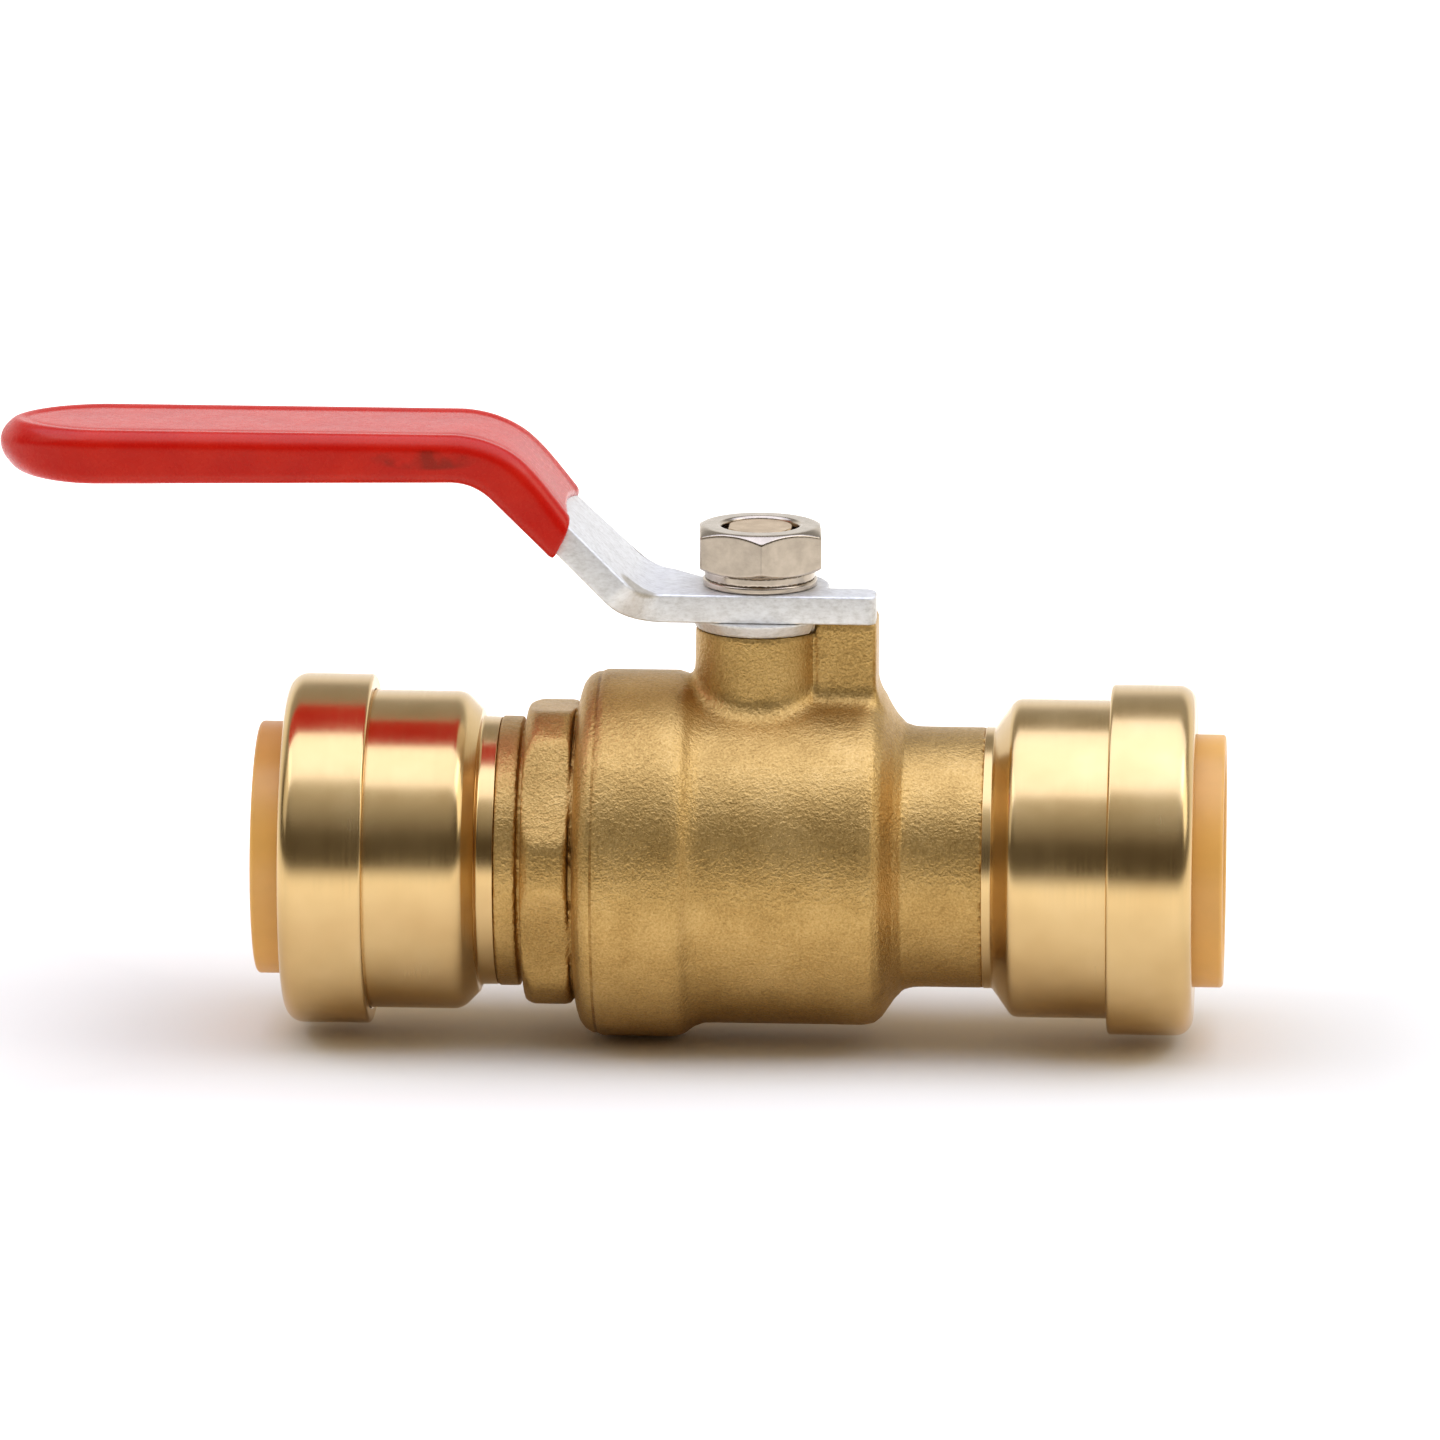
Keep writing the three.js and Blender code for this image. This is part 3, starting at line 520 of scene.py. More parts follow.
def inner_rings(side):
    """What shows down the socket: the spacer ring and the round rubber seal."""
    outline = placed(side, [
        (SPACER_START, SPACER_RADIUS), (SPACER_END, SPACER_RADIUS, 0.2), (SPACER_END, COLLAR_BORE, 0.2),
        (SPACER_LIP, COLLAR_BORE, 0.2), (SPACER_START, SPACER_MOUTH, 0.15),
    ])
    turned_piece(f"{side}_spacer", outline, "spacer_plastic", "housing", [f"{side}_spacer_ring"])
    circle = placed(side, wire_circle(TUBE_SEAL_DEPTH, TUBE_SEAL_RADIUS, TUBE_SEAL_WIRE, 20))
    turned_piece(f"{side}_tube_seal", circle, "rubber_seal", "housing", [f"{side}_o_ring"])


def grab_ring(side):
    """A thin spring ring with teeth that lean inward, cut from one pressed cone."""
    face, inward = SIDES[side]["face"], SIDES[side]["inward"]
    root, tip, root_depth, tip_depth, thickness = 13.2, 11.0, 6.7, 8.55, 0.45
    rim, half_gap, overlap, clear = 16.3, 0.8, 0.1, 0.5

    def field(x, y, z):
        depth = (x - face) * inward
        radius = from_axis(y, z)
        ring = np.maximum(radius - rim, root - 2 * overlap - radius)
        flat = np.maximum(np.abs(depth - root_depth) - thickness / 2, ring)
        slope = math.hypot(root - tip, tip_depth - root_depth)
        lean = ((depth - root_depth) * (root - tip) - (root - radius) * (tip_depth - root_depth)) / slope
        span = np.maximum(tip - radius, radius - root - overlap)
        teeth = np.maximum(np.abs(lean) - thickness / 2, span)
        turn = np.arctan2(z, y) * TOOTH_COUNT / (2 * math.pi)
        across = np.abs(turn - np.round(turn)) * 2 * math.pi / TOOTH_COUNT * radius
        return np.minimum(flat, np.maximum(teeth, half_gap - across))

    ends = sorted((face + inward * (root_depth - clear), face + inward * (tip_depth + clear)))
    reach = 16.4
    field_piece(
        f"{side}_toothed_ring", (ends[0], -reach, -reach), (ends[1], reach, reach), 0.16, field,
        "stainless_steel", "housing", [f"{side}_grab_ring"],
    )


for side_name in SIDES:
    retainer_cap(side_name)
    release_collar(side_name)
    inner_rings(side_name)
    grab_ring(side_name)


# ---- Forged body and its turned outlet barrel ----

FORGING_END = 23.8
NECK_RADIUS = 13.7
BODY_PROFILE = [
    (BODY_LEFT, 16.9), (BODY_LEFT + 0.35, 17.9), (BODY_LEFT + 0.9, 18.6), (BODY_LEFT + 1.7, 19.08),
    (BODY_LEFT + 2.6, FLANGE_RADIUS), (-8.6, FLANGE_RADIUS), (-7.6, 19.0), (-6.6, 18.25), (-5.6, 17.85),
    (-4.6, 17.8), (11.3, 17.8), (12.4, 17.55), (13.2, 16.9), (14.5, 15.0), (15.4, 14.05), (16.4, 13.75),
    (17.4, NECK_RADIUS), (FORGING_END, NECK_RADIUS),
]
PARTING_DEPTH, PARTING_WIDTH = 0.16, 0.3
BORE_STEPS = [(-8.0, 15.6), (8.0, 15.0), (12.9, 13.7), (24.1, PORT_RADIUS)]
BONNET_RADIUS, BONNET_FLARE, BONNET_ROOT = 6.7, 0.012, 10
STEM_BORE, STEM_COUNTERBORE, COUNTERBORE_TOP = 4.15, 5.3, 17.3
LUG_INNER, LUG_OUTER, LUG_HALF_WIDTH = 5.9, 12.4, 3.9
LUG_CORNER, LUG_ROOT = 0.7, 13
# How wide the body's fillets are: round the lug's top, between lug and bonnet, and at the bonnet's foot.
LUG_EDGE, LUG_FILLET, FOOT_FILLET = 0.5, 0.5, 1.9


def hollow(x):
    """Radius of the body's bore at each station of the forging."""
    radius = np.full(x.shape, GUIDE_BORE, np.float32)
    for station, inner in reversed(BORE_STEPS):
        radius = np.where(x < station, inner, radius)
    return radius


def lug_field(x, y, z):
    """The stop lug: a box with rounded upright edges."""
    centre, length = (LUG_INNER + LUG_OUTER) / 2, (LUG_OUTER - LUG_INNER) / 2
    side_x = np.abs(x - centre) - length + LUG_CORNER
    side_y = np.abs(y) - LUG_HALF_WIDTH + LUG_CORNER
    outside = np.sqrt(np.maximum(side_x, 0) ** 2 + np.maximum(side_y, 0) ** 2)
    plan = outside + np.minimum(np.maximum(side_x, side_y), 0) - LUG_CORNER
    return smooth_max(np.maximum(plan, LUG_ROOT - z), z - LUG_TOP, LUG_EDGE)


def forging_field(x, y, z):
    stations = np.array([p[0] for p in BODY_PROFILE])
    radii = np.array([p[1] for p in BODY_PROFILE])
    step = 0.1
    rise = np.interp(x + step, stations, radii) - np.interp(x - step, stations, radii)
    groove = PARTING_DEPTH * np.exp(-((x - PARTING_STATION) / PARTING_WIDTH) ** 2)
    outer = np.interp(x, stations, radii)
    pipe = (from_axis(y, z) - outer + groove) / np.sqrt(1 + (rise / (2 * step)) ** 2)
    stem_distance = from_axis(x, y)
    bonnet = stem_distance - BONNET_RADIUS - BONNET_FLARE * (BONNET_TOP - z)
    bonnet = np.maximum(np.maximum(bonnet, BONNET_ROOT - z), z - BONNET_TOP)
    tower = smooth_min(bonnet, lug_field(x, y, z), LUG_FILLET)
    solid = smooth_min(pipe, tower, FOOT_FILLET)
    solid = np.maximum(solid, np.maximum(BODY_LEFT - x, x - FORGING_END))
    # The bonnet's top is faced off flat, right up to the lug.
    faced = stem_distance < BONNET_RADIUS - 0.3
    solid = np.maximum(solid, np.where(faced, z - BONNET_TOP, solid))
    bore = from_axis(y, z) - hollow(x)
    stem_bore = np.where(z < COUNTERBORE_TOP, STEM_COUNTERBORE, STEM_BORE)
    stem_hole = np.maximum(stem_distance - stem_bore, BONNET_ROOT - z)
    return np.maximum(solid, np.maximum(-bore, -stem_hole))


def body():
    low = (BODY_LEFT, -FLANGE_RADIUS, -FLANGE_RADIUS)
    high = (FORGING_END, FLANGE_RADIUS, LUG_TOP)
    field_piece("body_forging", low, high, 0.3, forging_field, "forged_brass", "housing", ["valve_body"])
    turned_neck, neck_end, shoulder_end = NECK_RADIUS + 0.05, 24.75, 26.9
    outline = [
        (FORGING_END, PORT_RADIUS), (FORGING_END, turned_neck, 0.12), (neck_end, turned_neck, 0.25),
        (shoulder_end, BARREL_RADIUS, 1.3), (OUTLET_FACE - BARREL_START, BARREL_RADIUS, 0.3),
        *socket_bore("outlet"),
    ]
    turned_piece(
        "body_outlet_barrel", outline, "turned_brass", "housing", ["valve_body"], segments=FINE_SEGMENTS,
    )


body()


# ---- Screwed end cap ----

RING_START, RING_END = -27.2, -24.85
HEX_START, HEX_END = -24.3, -19.2
HEX_FLATS = 31.0
HEX_ROUND = 16.65
HEX_TURN = 24 * DEGREE
HEX_CHAMFER, HEX_BACK_CHAMFER = 1.0, 0.5
RING_RADIUS, CORE_RADIUS = 14.2, 13.4
THREAD_RADIUS = 15.4
CAP_POCKET, CAP_POCKET_START = 13.7, -12.9
NOSE_END = extent("end_cap")[1][0]


def end_cap_field(x, y, z):
    radius = from_axis(y, z)
    flats = hexagon_field(-z, y, HEX_FLATS, HEX_TURN)
    turned = radius - HEX_ROUND
    ends = np.maximum(HEX_START - x, x - HEX_END)
    chamfer = (radius - HEX_ROUND + HEX_CHAMFER + (HEX_START - x)) / math.sqrt(2)
    far_chamfer = (radius - HEX_ROUND + HEX_BACK_CHAMFER + (x - HEX_END)) / math.sqrt(2)
    hexagon = smooth_max(smooth_max(flats, turned, 0.35), np.maximum(chamfer, far_chamfer), 0.35)
    hexagon = smooth_max(hexagon, ends, 0.25)
    ring = smooth_max(radius - RING_RADIUS, np.maximum(RING_START - x, x - RING_END), 0.3)
    core = np.maximum(radius - CORE_RADIUS, np.maximum(RING_START - x, x - HEX_END))
    thread = np.maximum(radius - THREAD_RADIUS, np.maximum(HEX_END - 1 - x, x - NOSE_END))
    solid = np.minimum(np.minimum(smooth_min(ring, core, 0.3), hexagon), thread)
    pocket = np.where(x > CAP_POCKET_START, CAP_POCKET, PORT_RADIUS)
    return np.maximum(solid, pocket - radius)


def end_cap():
    low = (RING_START, -HEX_ROUND, -HEX_ROUND)
    high = (NOSE_END, HEX_ROUND, HEX_ROUND)
    field_piece("end_cap_hexagon", low, high, 0.25, end_cap_field, "forged_brass", "housing", ["end_cap"])
    neck_start, shoulder_start, shoulder_foot = -29.0, -31.0, BARREL_RADIUS - 1.9
    outline = [
        (RING_START, PORT_RADIUS), (RING_START, 14.1, 0.1), (neck_start, 14.15, 0.5),
        (neck_start - 0.15, shoulder_foot, 0.5), (shoulder_start, BARREL_RADIUS, 2.2),
        (INLET_FACE + BARREL_START, BARREL_RADIUS, 0.3), *socket_bore("inlet"),
    ]
    turned_piece("end_cap_barrel", outline, "turned_brass", "housing", ["end_cap"], segments=FINE_SEGMENTS)


end_cap()


# ---- Ball, seats and washers inside ----

BALL_RADIUS = extent("ball")[1][1]
SLOT_FLOOR, SLOT_HALF_WIDTH = 10.8, 1.9
SEAT_START, SEAT_END, SEAT_RADIUS, SEAT_BORE = 8.16, 12.8, 13.6, 9.1
SEAT_GAP = 0.2


def ball():
    def field(x, y, z):
        sphere = np.sqrt(x * x + y * y + z * z) - BALL_RADIUS
        slot = np.maximum(np.abs(x) - SLOT_HALF_WIDTH, SLOT_FLOOR - z)
        return np.maximum(smooth_max(sphere, PORT_RADIUS - from_axis(y, z), 0.3), -slot)

    reach = math.sqrt(BALL_RADIUS ** 2 - PORT_RADIUS ** 2)
    field_piece(
        "ported_ball", (-reach, -BALL_RADIUS, -BALL_RADIUS), (reach, BALL_RADIUS, BALL_RADIUS), 0.3,
        field, "chromed_brass", "ball", ["ball"],
    )


def seat(side, direction):
    """A seat ring whose cone, at 45 degrees, faces the ball."""
    cone = (BALL_RADIUS + SEAT_GAP) * math.sqrt(2)
    outline = [
        (SEAT_START, cone - SEAT_START), (SEAT_START, SEAT_RADIUS, 0.15), (SEAT_END, SEAT_RADIUS, 0.2),
        (SEAT_END, SEAT_BORE, 0.2), (cone - SEAT_BORE, SEAT_BORE),
    ]
    mirrored = [(direction * entry[0], *entry[1:]) for entry in outline]
    turned_piece(f"{side}_seat_ring", mirrored, "ptfe", "housing", [f"{side}_seat"])


ball()
seat("inlet", -1)
seat("outlet", 1)
turned_piece(
    "thrust_ring", [(16.4, 4.2, 0.1), (16.4, 5.2, 0.1), (17.2, 5.2, 0.1), (17.2, 4.2, 0.1)],
    "ptfe", "housing", ["thrust_washer"], axis="Z", segments=96,
)


# ---- Stem and what it carries ----

STEM_RADIUS = 3.95
STEM_FLAT = 3.3
# The slots in the lever plate and in the stop disc are wider than the stem by this on every side.
SLOT_PLAY = 0.1
TANG_BOTTOM, TANG_TOP, TANG_HALF_THICKNESS, TANG_HALF_WIDTH = 11.1, 15, 1.6, 4.5
SHOULDER_RADIUS, SHOULDER_BOTTOM, SHOULDER_TOP = 5.0, 14.5, 16.3
SHAFT_RADIUS, SHAFT_BOTTOM, SHAFT_TOP = 4.0, 16, 24.5
SEAL_HEIGHTS = {"lower": 19.0, "upper": 22.0}
SEAL_RADIUS, SEAL_WIRE = 3.5, 0.55
GROOVE_RADIUS, GROOVE_HALF_WIDTH = 2.9, 0.75
THREAD_PITCH, THREAD_DEPTH, THREAD_BOTTOM = 1.25, 0.55, 29.3


def stem_field_piece(name, reach, bottom, top, step, field, slot, node):
    """The stem or a piece on it, within a reach of the stem's axis."""
    low, high = (-reach, -reach, bottom), (reach, reach, top)
    field_piece(name, low, high, step, field, slot, "handle", [node])


def stem_field(x, y, z):
    radius = from_axis(x, y)
    shoulder = np.maximum(radius - SHOULDER_RADIUS, np.maximum(SHOULDER_BOTTOM - z, z - SHOULDER_TOP))
    off_seals = np.minimum.reduce([np.abs(z - height) for height in SEAL_HEIGHTS.values()])
    turned = np.where(off_seals < GROOVE_HALF_WIDTH, GROOVE_RADIUS, SHAFT_RADIUS)
    shaft = np.maximum(radius - turned, np.maximum(SHAFT_BOTTOM - z, z - SHAFT_TOP))
    tang = np.maximum(np.abs(x) - TANG_HALF_THICKNESS, np.abs(y) - TANG_HALF_WIDTH)
    tang = np.maximum(tang, np.maximum(TANG_BOTTOM - z, z - TANG_TOP))
    turn = (z - 29) / THREAD_PITCH - np.arctan2(y, x) / (2 * math.pi)
    tooth = np.abs(turn - np.floor(turn) - 0.5) * 2
    cut = np.where(z > THREAD_BOTTOM, THREAD_DEPTH * tooth, 0)
    upper = smooth_max(radius - STEM_RADIUS + cut, np.abs(x) - STEM_FLAT, 0.15)
    top = (z + radius - STEM_TOP - STEM_RADIUS + 0.45) / math.sqrt(2)
    upper = smooth_max(upper, np.maximum(np.maximum(top, z - STEM_TOP), 24 - z), 0.12)
    return np.minimum(np.minimum(shoulder, shaft), np.minimum(tang, upper))


def stem():
    stem_field_piece(
        "valve_stem", SHOULDER_RADIUS, TANG_BOTTOM, STEM_TOP, 0.11, stem_field, "stem_brass", "stem",
    )
    for name, height in SEAL_HEIGHTS.items():
        circle = wire_circle(height, SEAL_RADIUS, SEAL_WIRE, 14)
        turned_piece(
            f"{name}_stem_seal", circle, "rubber_seal", "handle", [f"{name}_stem_o_ring"],
            axis="Z", segments=72,
        )


def stop_disc_field(x, y, z):
    """A disc on the stem's flats with a wider blade over part of the turn, which meets the lug."""
    low, high = extent("stop_disc")[0][2], extent("stop_disc")[1][2]
    disc_radius, blade_radius, blade_lean = 5.4, 6.7, 0.7
    blade_middle, blade_half_angle = 45 * DEGREE, 100 * DEGREE
    radius = from_axis(x, y)
    rim = radius - blade_radius - blade_lean * (z - low) / (high - low)
    sector = (np.abs(np.arctan2(y, -x) + blade_middle) - blade_half_angle) * radius
    blade = smooth_max(rim, np.where(radius > 1, sector, -1), 0.3)
    plate = np.minimum(blade, radius - disc_radius)
    plate = smooth_max(plate, np.maximum(low - z, z - high), 0.2)
    hole = np.maximum(radius - STEM_RADIUS - SLOT_PLAY, np.abs(x) - STEM_FLAT - SLOT_PLAY)
    return np.maximum(plate, -hole)


def nut_field(x, y, z):
    across_flats, turn, bore = 12.7, 33.7 * DEGREE, 4.05
    top_chamfer, bottom_chamfer = 1.25, 1.0
    radius = from_axis(x, y)
    flats = hexagon_field(x, y, across_flats, turn)
    corner = across_flats / 2 / math.cos(30 * DEGREE)
    slope = math.tan(30 * DEGREE)
    top = (z - NUT_TOP + (radius - corner + top_chamfer) * slope) * math.cos(30 * DEGREE)
    bottom = (NUT_BOTTOM - z + (radius - corner + bottom_chamfer) * slope) * math.cos(30 * DEGREE)
    hexagon = smooth_max(flats, np.maximum(top, bottom), 0.12)
    hexagon = smooth_max(hexagon, np.maximum(NUT_BOTTOM - z, z - NUT_TOP), 0.15)
    mouth = radius - bore - np.maximum(0, 0.25 - (NUT_TOP - z)) - np.maximum(0, 0.4 - (z - NUT_BOTTOM))
    return smooth_max(hexagon, -mouth, 0.1)


def lock_washer_field(x, y, z):
    """A ring of nearly square wire, cut through on a slant, its ends sprung a little apart."""
    low, high = extent("lock_washer")[0][2], extent("lock_washer")[1][2]
    ring_radius, half_wire, slant, half_gap = 5.0, 0.8, 0.6, 0.35
    beside = np.abs(from_axis(x, y) - ring_radius) - half_wire
    ring = np.maximum(beside, np.abs(z - (low + high) / 2) - (high - low) / 2)
    cut = np.maximum(np.abs(x - slant * (z - low)) - half_gap, -y)
    return smooth_max(ring, -cut, 0.15)


stem()
stem_field_piece("stop_plate", 7.5, 24.6, 26.1, 0.14, stop_disc_field, "zinc_steel", "stop_disc")
stem_field_piece("hexagon_nut", 7.4, NUT_BOTTOM, NUT_TOP, 0.12, nut_field, "nickel_steel", "stem_nut")
stem_field_piece("spring_washer", 6, 29.95, 30.85, 0.1, lock_washer_field, "nickel_steel", "lock_washer")
turned_piece(
    "plain_washer", [(29.15, 4.2, 0.1), (29.15, 6.0, 0.2), (29.9, 6.0, 0.25), (29.9, 4.2, 0.1)],
    "nickel_steel", "handle", ["flat_washer"], axis="Z", segments=96,
)


# ---- Handle: a flat blank, bent along its middle line ----

PLATE_THICKNESS = 3.0
HUB_HEIGHT = PLATE_BOTTOM + PLATE_THICKNESS / 2
GRIP_THICKNESS = 5.4
GRIP_HEIGHT = GRIP_TOP - GRIP_THICKNESS / 2
# Corner and inner radius of each bend.
BENDS = [((-12.4, HUB_HEIGHT), 6.5), ((-28.7, GRIP_HEIGHT), 8.5)]
ARC_STEPS = 12
# The end of the handle seen from above: a rounded point, longer than a half circle.
TIP_LENGTH = 11.2
TIP_POWER = 1.8


def middle_line():
    """Samples of the handle's middle line: distance along it, X, Z and the direction's angle."""
    ends = (TAIL_END + 2, HUB_HEIGHT), (GRIP_TIP - 5, GRIP_HEIGHT)
    corners = [Vector(place) for place in (ends[0], *(corner for corner, _ in BENDS), ends[1])]
    samples = []
    for i, (_, radius) in enumerate(BENDS, start=1):
        before = (corners[i] - corners[i - 1]).normalized()
        after = (corners[i + 1] - corners[i]).normalized()
        turn = math.atan2(before.x * after.y - before.y * after.x, before.dot(after))
        setback = radius * math.tan(abs(turn) / 2)
        sign = math.copysign(1, turn)
        side = Vector((-before.y, before.x)) * sign * radius
        centre = corners[i] - before * setback + side
        for step in range(ARC_STEPS + 1):
            angle = turn * step / ARC_STEPS
            spoke = Matrix.Rotation(angle, 2) @ -side
            direction = Matrix.Rotation(angle, 2) @ before
            samples.append((centre + spoke, math.atan2(direction.y, direction.x)))
    first = (corners[1] - corners[0]).normalized()
    samples.insert(0, (corners[0], math.atan2(first.y, first.x)))
    samples.append((corners[-1], samples[-1][1]))
    xs = np.array([s[0].x for s in samples])
    zs = np.array([s[0].y for s in samples])
    angles = np.unwrap([s[1] for s in samples])
    along = np.concatenate([[0], np.cumsum(np.hypot(np.diff(xs), np.diff(zs)))])
    along -= np.interp(0, -xs, along)
    return along, xs, zs, angles


LINE = middle_line()


def along_at(x):
    """Distance along the middle line from the stem to the place above x."""
    return float(np.interp(-x, -LINE[1], LINE[0]))


def on_line(points):
    """Points of (distance, y, lift) laid along the middle line. Lift is towards the top."""
    along, xs, zs, angles = LINE
    u, y, lift = points[:, 0], points[:, 1], points[:, 2]
    angle = np.interp(u, along, angles)
    # The line runs towards -X, so its right-hand side is up.
    return np.stack([
        np.interp(u, along, xs) + lift * np.sin(angle), y, np.interp(u, along, zs) - lift * np.cos(angle),
    ], -1)


def arc_points(x, y, radius, start, end, steps):
    """Points on an arc from one angle to another, both in degrees."""
    angles = [(start + (end - start) * i / steps) * DEGREE for i in range(steps + 1)]
    return [(x + radius * math.cos(a), y + radius * math.sin(a)) for a in angles]


def bent_mesh(name, outline, hole, thickness, edge, edge_steps, spacing):
    """A blank of (distance, y) points, its edges rounded, laid along the middle line."""
    work = bmesh.new()
    edges = []
    for loop in (outline, hole):
        vertices = [work.verts.new((u, y, -thickness / 2)) for u, y in loop]
        edges += [work.edges.new((vertices[i - 1], vertices[i])) for i in range(len(vertices))]
    bmesh.ops.triangle_fill(work, edges=edges, use_beauty=True, use_dissolve=False)
    rise = bmesh.ops.extrude_face_region(work, geom=list(work.faces))
    raised = [v for v in rise["geom"] if isinstance(v, bmesh.types.BMVert)]
    bmesh.ops.translate(work, verts=raised, vec=(0, 0, thickness))
    bmesh.ops.recalc_face_normals(work, faces=work.faces)
    rims = [e for e in work.edges if len(e.link_faces) == 2 and e.calc_face_angle(0) > 60 * DEGREE
            and abs(e.verts[0].co.z - e.verts[1].co.z) < 1e-6]
    bmesh.ops.bevel(work, geom=rims, offset=edge, segments=edge_steps, profile=0.5, affect="EDGES")
    station = min(v.co.x for v in work.verts) + spacing
    high = max(v.co.x for v in work.verts)
    while station < high:
        bmesh.ops.bisect_plane(
            work, geom=list(work.verts) + list(work.edges) + list(work.faces),
            plane_co=(station, 0, 0), plane_no=(1, 0, 0), dist=1e-5,
        )
        station += spacing
    flat = np.array([tuple(v.co) for v in work.verts])
    for vertex, place in zip(work.verts, on_line(flat) * MM):
        vertex.co = place
    mesh = bpy.data.meshes.new(name)
    work.to_mesh(mesh)
    work.free()
    outward(mesh)
    return mesh


def handle_outline(tip_x, half_width):
    """The blank's outline, seen from above as the bent handle is, from the tip round by the back."""
    front, tail_back, hub = -6.2, -1.5, 7.3
    tail_corner, front_rounding = 1.5, 0.9
    end, arm_start = along_at(tip_x), along_at(-24.5)
    angles = [(-90 + 180 * i / 40) * DEGREE for i in range(41)]
    tip = [
        (end + TIP_LENGTH * (max(math.cos(a), 0) ** (2 / TIP_POWER) - 1),
         half_width * math.copysign(abs(math.sin(a)) ** (2 / TIP_POWER), a))
        for a in angles
    ]
    arm = [(arm_start, half_width), (along_at(-14), 9.0), (along_at(-12.4), 8.8), (along_at(-9.4), hub)]
    flare_start, flare_length, flare_depth = along_at(-10.0), 5.3, 2.8
    flare = [
        (flare_start + flare_length * i / 12, front - flare_depth * (1 - math.cos(math.pi * i / 12)) / 2)
        for i in range(13)
    ]
    near_tail = (
        arc_points(TAIL_END - front_rounding, front + front_rounding, front_rounding, -90, 0, 8)
        + arc_points(TAIL_END - tail_corner, tail_back - tail_corner, tail_corner, 0, 90, 8)
        + arc_points(0, 0, hub, math.asin(tail_back / hub) / DEGREE, 150, 40)
    )
    return tip + arm + [(-x, y) for x, y in reversed(near_tail)] + flare + [(arm_start, -half_width)]


def handle_plate():
    """The lever plate, with a hole that fits the stem and its two flats."""
    radius, flat = STEM_RADIUS + SLOT_PLAY, STEM_FLAT + SLOT_PLAY
    start = math.acos(flat / radius) / DEGREE
    hole = arc_points(0, 0, radius, start, 180 - start, 16)
    hole += arc_points(0, 0, radius, 180 + start, 360 - start, 16)
    mesh = bent_mesh("lever_plate", handle_outline(-79.0, 7.6), hole, PLATE_THICKNESS, 0.25, 4, 0.9)
    finish_piece("lever_plate", mesh, "zinc_steel", "handle", ["handle_plate"])


def handle_grip():
    """The dipped sleeve: flat on top inside a low bead, well rounded at its tip, thin at its mouth."""
    start, end = along_at(-20.2), along_at(GRIP_TIP)
    half_width, flare, flare_end = 8.6, 0.45, along_at(-30)
    half = GRIP_THICKNESS / 2
    bend = along_at(-29)

    def plan_distance(u, y):
        """Distance to the outline seen from above, whose end is a rounded point."""
        ahead = np.maximum(u - end + TIP_LENGTH, 0) / TIP_LENGTH
        beside = np.abs(y) / half_width + 1e-6
        total = ahead ** TIP_POWER + beside ** TIP_POWER
        slope = total ** (1 / TIP_POWER - 1)
        across = np.hypot(
            ahead ** (TIP_POWER - 1) / TIP_LENGTH * slope, beside ** (TIP_POWER - 1) / half_width * slope,
        )
        return (total ** (1 / TIP_POWER) - 1) / np.maximum(across, 0.05)

    def field(u, y, lift):
        widening = flare * np.clip((flare_end - u) / (flare_end - start), 0, 1) ** 2
        plan = plan_distance(u, y) - widening
        near_mouth = np.clip((start + 7 - u) / 7, 0, 1)
        mouth = start + 1.3 * (1 - (y / half_width) ** 2) + 0.8 * lift / half - u
        # A low bead runs round the top, with a fine groove inside it.
        bead = 0.16 * np.exp(-((plan + 1.6) / 0.7) ** 2) - 0.16
        bead = bead - 0.07 * np.exp(-((plan + 2.9) / 0.35) ** 2)
        crown = 0.3 * np.exp(-((u - along_at(-26)) / 3.5) ** 2) - 0.7 * near_mouth ** 2
        top = lift - half - bead - crown
        thinner = 0.5 - 0.7 * np.clip((u - bend) / (end - 9 - bend), 0, 1)
        near_tip = np.clip((u - end + 9) / 8, 0, 1) ** 2
        solid = round_max(plan, top, 1.5 + 0.9 * near_tip)
        solid = round_max(solid, thinner - half - lift, 0.9 + 2.2 * near_tip)
        return round_max(solid, mouth, 0.35)

    field_piece(
        "vinyl_grip", (start - 2.2, -9.2, -half - 0.3), (end, 9.2, half + 0.3), 0.25, field,
        "red_vinyl", "handle", ["handle_grip"], place=on_line,
    )


handle_plate()
handle_grip()


# ---- Studio ----

FLOOR_Z = -FLANGE_RADIUS - 0.2


